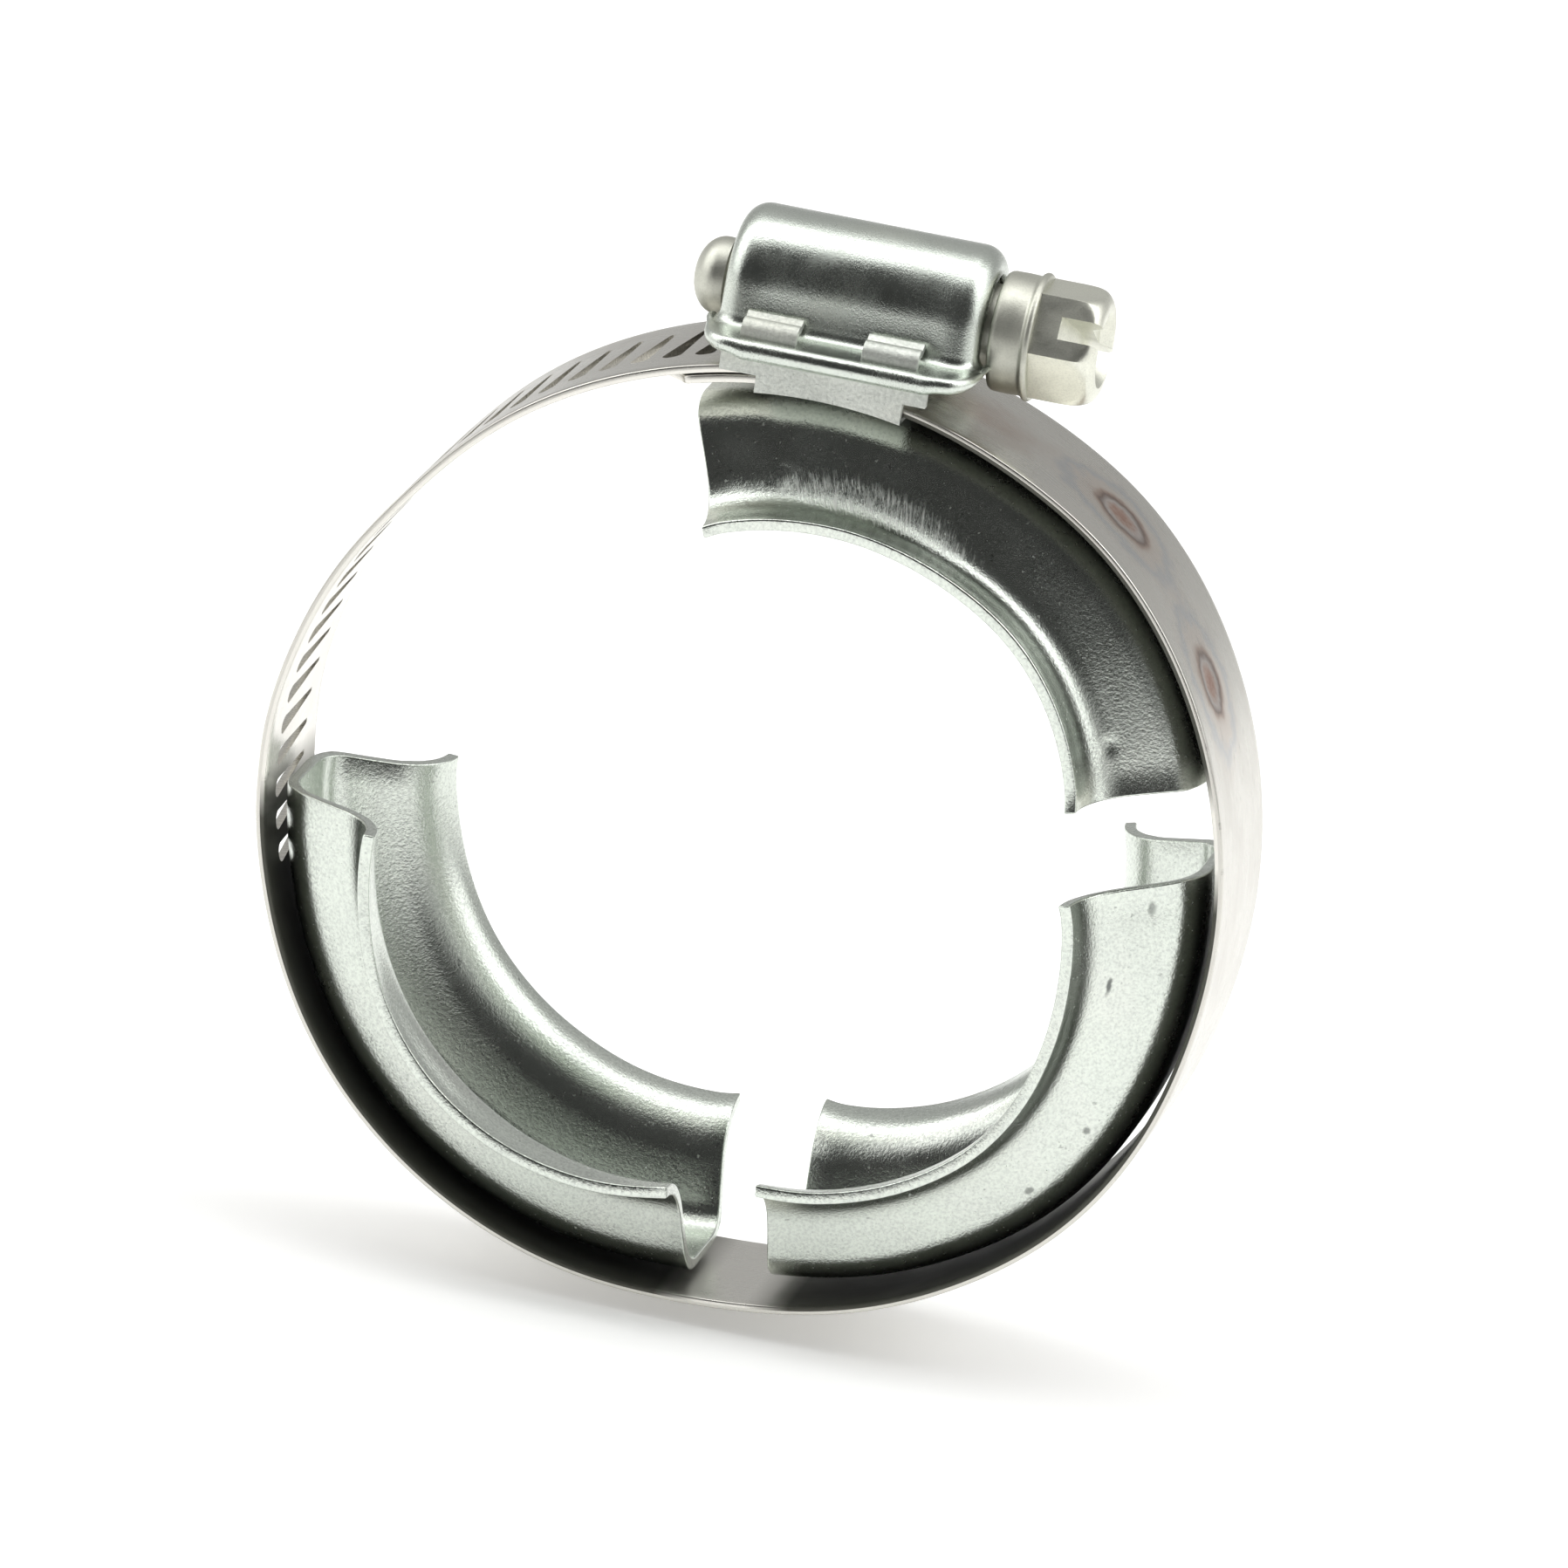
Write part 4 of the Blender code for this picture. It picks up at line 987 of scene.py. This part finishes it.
def hex_mesh(x0, x1):
    """Hexagon head with a rounded nose."""
    angles = np.arange(0.0, 360.0, 3.0)
    rows = []
    nose = [(x0, 6.0), (x0 + 0.5 * MM, 6.0), (x1 - 2.4 * MM, 5.6)]
    for a in np.linspace(8.0, 82.0, 9):
        t = math.radians(a)
        nose.append((x1 - 2.2 * MM + 2.2 * MM * math.sin(t), 3.05 + 1.62 * math.cos(t)))
    nose.append((x1, 2.9))
    for x, limit in nose:
        r = hex_radius(angles, HEX_AF / 2.0, limit * MM)
        a = np.radians(angles)
        rows.append(np.stack([np.full(len(a), x), r * np.cos(a), AXLE.z + r * np.sin(a)], -1))
    return skin("hex", np.array(rows))


def make_screw():
    left = COVER_X - COVER_HALF
    right = COVER_X + COVER_HALF
    tip = left - 3.10 * MM
    profile = [(tip, 0.0)]
    for a in np.radians(np.linspace(8.0, 90.0, 12)):
        profile.append((tip + 2.0 * MM * (1.0 - math.cos(a)), 2.90 * MM * math.sin(a) ** 0.9))
    profile += [(left - 0.45 * MM, 2.88 * MM), (left - 0.25 * MM, 2.70 * MM)]
    profile += [(left + COVER_T + 0.3 * MM, 2.70 * MM)]
    profile += [(left + COVER_T + 0.45 * MM, CORE_R), (right - 0.9 * MM, CORE_R), (right, CORE_R)]
    profile += [(right + 0.42 * MM, CORE_R)]
    shaft = lathe("shaft", profile)

    c0 = right + 0.45 * MM
    collar = [(c0, 0.4 * MM), (c0, 4.12 * MM), (c0 + 0.06 * MM, 4.28 * MM), (c0 + 0.22 * MM, 4.40 * MM)]
    collar += [(c0 + 0.45 * MM, 4.45 * MM), (c0 + 1.4 * MM, 4.47 * MM), (c0 + 2.30 * MM, 4.44 * MM)]
    collar += [(c0 + 2.48 * MM, 4.50 * MM), (c0 + 2.60 * MM, 4.66 * MM), (c0 + 2.74 * MM, 4.75 * MM)]
    collar += [(c0 + 2.92 * MM, 4.75 * MM), (c0 + 3.06 * MM, 4.66 * MM), (c0 + 3.12 * MM, 4.50 * MM)]
    collar += [(c0 + 3.12 * MM, 0.4 * MM)]
    collar_mesh = lathe("collar", collar)

    mat = screw_material("zinc_screw_plate")
    h0 = c0 + 2.8 * MM
    h1 = h0 + HEAD_LENGTH
    head = finish_mesh("screw_head", hex_mesh(h0, h1), mat, angle=50.0)
    cut(head, driver_slot(h1))
    cut(head, lathe("dish", [(h1 - 0.9 * MM, 2.0 * MM), (h1 + 0.4 * MM, 3.2 * MM)], 48))
    head.data.set_sharp_from_angle(angle=math.radians(30.0))
    soften(head, 0.10 * MM, angle=30.0, segments=3)
    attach(head, "screw")
    turned = finish_mesh("screw_shank", join_meshes("screw_shank", [shaft, collar_mesh, worm_mesh()]),
                         screw_material("zinc_shank_plate", dull=0.6), angle=40.0)
    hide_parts("worm_screw")
    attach(turned, "screw")
    return turned


def leaning_plate(outline, low, high):
    """Plate over an (x, y) outline, leaning with the driver slot."""
    mesh = plate(outline, low, high, axis="Z")
    turn = Matrix.Rotation(math.radians(-SLOT_TURN), 4, "X")
    mesh.transform(Matrix.Translation((0.0, 0.0, AXLE.z)) @ turn)
    return mesh


def driver_slot(end):
    """Cutter for the slot across the head, deeper towards the front."""
    far = 7.0 * MM
    deep, deeper = end - 2.0 * MM, end - 3.0 * MM
    outline = [(end + MM, -far), (end + MM, far), (deep, far), (deep, -0.8 * MM),
               (deeper, -4.2 * MM), (deeper, -far)]
    return leaning_plate(outline, -0.85 * MM, 0.85 * MM)


# ---- studio -----------------------------------------------------------------
def make_camera():
    data = bpy.data.cameras.new("camera")
    data.sensor_width = 36.0
    data.lens = 339.67
    data.clip_start = 0.05
    data.clip_end = 20.0
    cam = bpy.data.objects.new("camera", data)
    bpy.context.scene.collection.objects.link(cam)
    azimuth, elevation, roll = (math.radians(a) for a in (11.238, 17.792, 8.008))
    target = Vector((0.00138, 0.0, 0.00325))
    back = Vector((math.sin(azimuth) * math.cos(elevation),
                   -math.cos(azimuth) * math.cos(elevation), math.sin(elevation)))
    turn = (-back).to_track_quat("-Z", "Y").to_matrix() @ Matrix.Rotation(roll, 3, "Z")
    cam.matrix_world = Matrix.Translation(target + back * 1.089) @ turn.to_4x4()
    bpy.context.scene.camera = cam


def area_light(name, place, target, size, power):
    data = bpy.data.lights.new(name, "AREA")
    data.shape = "RECTANGLE"
    data.size, data.size_y = size
    data.energy = power
    light = bpy.data.objects.new(name, data)
    bpy.context.scene.collection.objects.link(light)
    light.location = place
    direction = Vector(target) - Vector(place)
    light.rotation_euler = direction.to_track_quat("-Z", "Y").to_euler()


def make_world():
    """Soft studio: white overhead, grey horizon, a dim side towards the viewer."""
    world = bpy.data.worlds.new("studio")
    bpy.context.scene.world = world
    world.use_nodes = True
    tree = world.node_tree
    background = tree.nodes["Background"]
    coord = tree.nodes.new("ShaderNodeTexCoord")
    split = tree.nodes.new("ShaderNodeSeparateXYZ")
    tree.links.new(coord.outputs["Generated"], split.inputs[0])
    height = tree.nodes.new("ShaderNodeValToRGB")
    stops = ((0.0, 0.60), (0.30, 0.42), (0.85, 0.55), (1.0, 0.90))
    while len(height.color_ramp.elements) < len(stops):
        height.color_ramp.elements.new(0.5)
    for element, (position, value) in zip(height.color_ramp.elements, stops):
        element.position = position
        element.color = (value, value, value * 0.99, 1.0)
    tree.links.new(split.outputs["Z"], height.inputs[0])
    dim = tree.nodes.new("ShaderNodeMapRange")
    dim.interpolation_type = "SMOOTHSTEP"
    dot = tree.nodes.new("ShaderNodeVectorMath")
    dot.operation = "DOT_PRODUCT"
    tree.links.new(coord.outputs["Generated"], dot.inputs[0])
    dot.inputs[1].default_value = (0.0, -0.86, 0.51)
    tree.links.new(dot.outputs["Value"], dim.inputs["Value"])
    for name, number in (("From Min", 0.56), ("From Max", 0.76), ("To Min", 1.0), ("To Max", 0.10)):
        dim.inputs[name].default_value = number
    mix = tree.nodes.new("ShaderNodeVectorMath")
    mix.operation = "SCALE"
    tree.links.new(height.outputs[0], mix.inputs[0])
    tree.links.new(dim.outputs[0], mix.inputs["Scale"])
    tree.links.new(mix.outputs[0], background.inputs["Color"])
    background.inputs["Strength"].default_value = 1.0


def make_studio():
    low = cad_box[0].z - FLOOR_DROP
    bm = bmesh.new()
    corners = [(-FLOOR_SIDE, FLOOR_FRONT), (FLOOR_SIDE, FLOOR_FRONT), (FLOOR_SIDE, FLOOR_SIDE),
               (-FLOOR_SIDE, FLOOR_SIDE)]
    bm.faces.new([bm.verts.new((x, y, 0.0)) for x, y in corners])
    mesh = bpy.data.meshes.new("floor")
    bm.to_mesh(mesh)
    bm.free()
    floor = bpy.data.objects.new("floor", mesh)
    bpy.context.scene.collection.objects.link(floor)
    floor.location = (0.0, 0.0, low)
    s = Shader("floor_paper", metallic=0.0)
    s.bsdf.inputs["Roughness"].default_value = 0.9
    s.bsdf.inputs["Specular IOR Level"].default_value = 0.1
    s.bsdf.inputs["Emission Color"].default_value = (1.0, 1.0, 0.995, 1.0)
    s.bsdf.inputs["Emission Strength"].default_value = 0.22
    paper = s.noise(s.place("object", (40.0, 40.0, 40.0)), detail=3.0)
    shades = [(0.3, (0.955, 0.955, 0.95)), (0.7, (0.965, 0.965, 0.96))]
    mesh.materials.append(s.set(colour=s.ramp(paper, shades)))
    area_light("top_soft", (-0.05, 0.03, 0.80), (-0.05, 0.03, 0.0), (2.4, 0.52), 7.0)
    area_light("left_soft", (-0.80, -0.15, 0.50), (0.0, 0.0, 0.0), (0.9, 0.8), 2.8)
    area_light("right_soft", (0.80, 0.10, 0.50), (0.0, 0.0, 0.0), (0.9, 0.8), 2.8)
    make_world()
    make_camera()
    view = bpy.context.scene.view_settings
    view.view_transform = "Standard"
    view.look = "None"


def main():
    welds = [(math.radians(50.3) * BAND_R / MM, 0.5, 4.0), (math.radians(29.2) * BAND_R / MM, -1.3, -4.0)]
    make_band(welds)
    dents_1 = [(91.7, -7.2 * MM, 30.3 * MM, 1.3 * MM, 0.16 * MM),
               (29.3, -7.4 * MM, 29.7 * MM, 1.1 * MM, 0.14 * MM)]
    scuff_1 = ((math.radians(78.0) * BAND_R / MM, 4.4), (11.5, 1.9))
    nicks_2 = (((-5.3, 4.6), (1.0, 0.22), 0.8), ((-18.9, 7.8), (0.45, 0.30), 0.6),
               ((-26.2, 8.0), (0.50, 0.30), 0.6), ((2.3, 6.9), (0.8, 0.35), 0.5))
    make_retainer("retainer_top", "frame", "retainer_1", *RET_1, RET1_C,
                  (1.3, 0.0, 0.5, 0.0), (0.0, 0.7), dents_1, scuff_1, (), 11)
    make_retainer("retainer_right", "lower_link", "retainer_2", *RET_2, ORIGIN,
                  (0.6, -0.5, 0.7, -0.4), (0.3, 0.9), (), None, nicks_2, 12)
    make_retainer("retainer_left", "left_link", "retainer_3", *RET_3, ORIGIN,
                  (1.9, 0.1, -0.3, -0.4), (0.0, 0.4), (), None, (), 13)
    make_cover()
    make_saddle()
    make_screw()
    make_studio()


main()
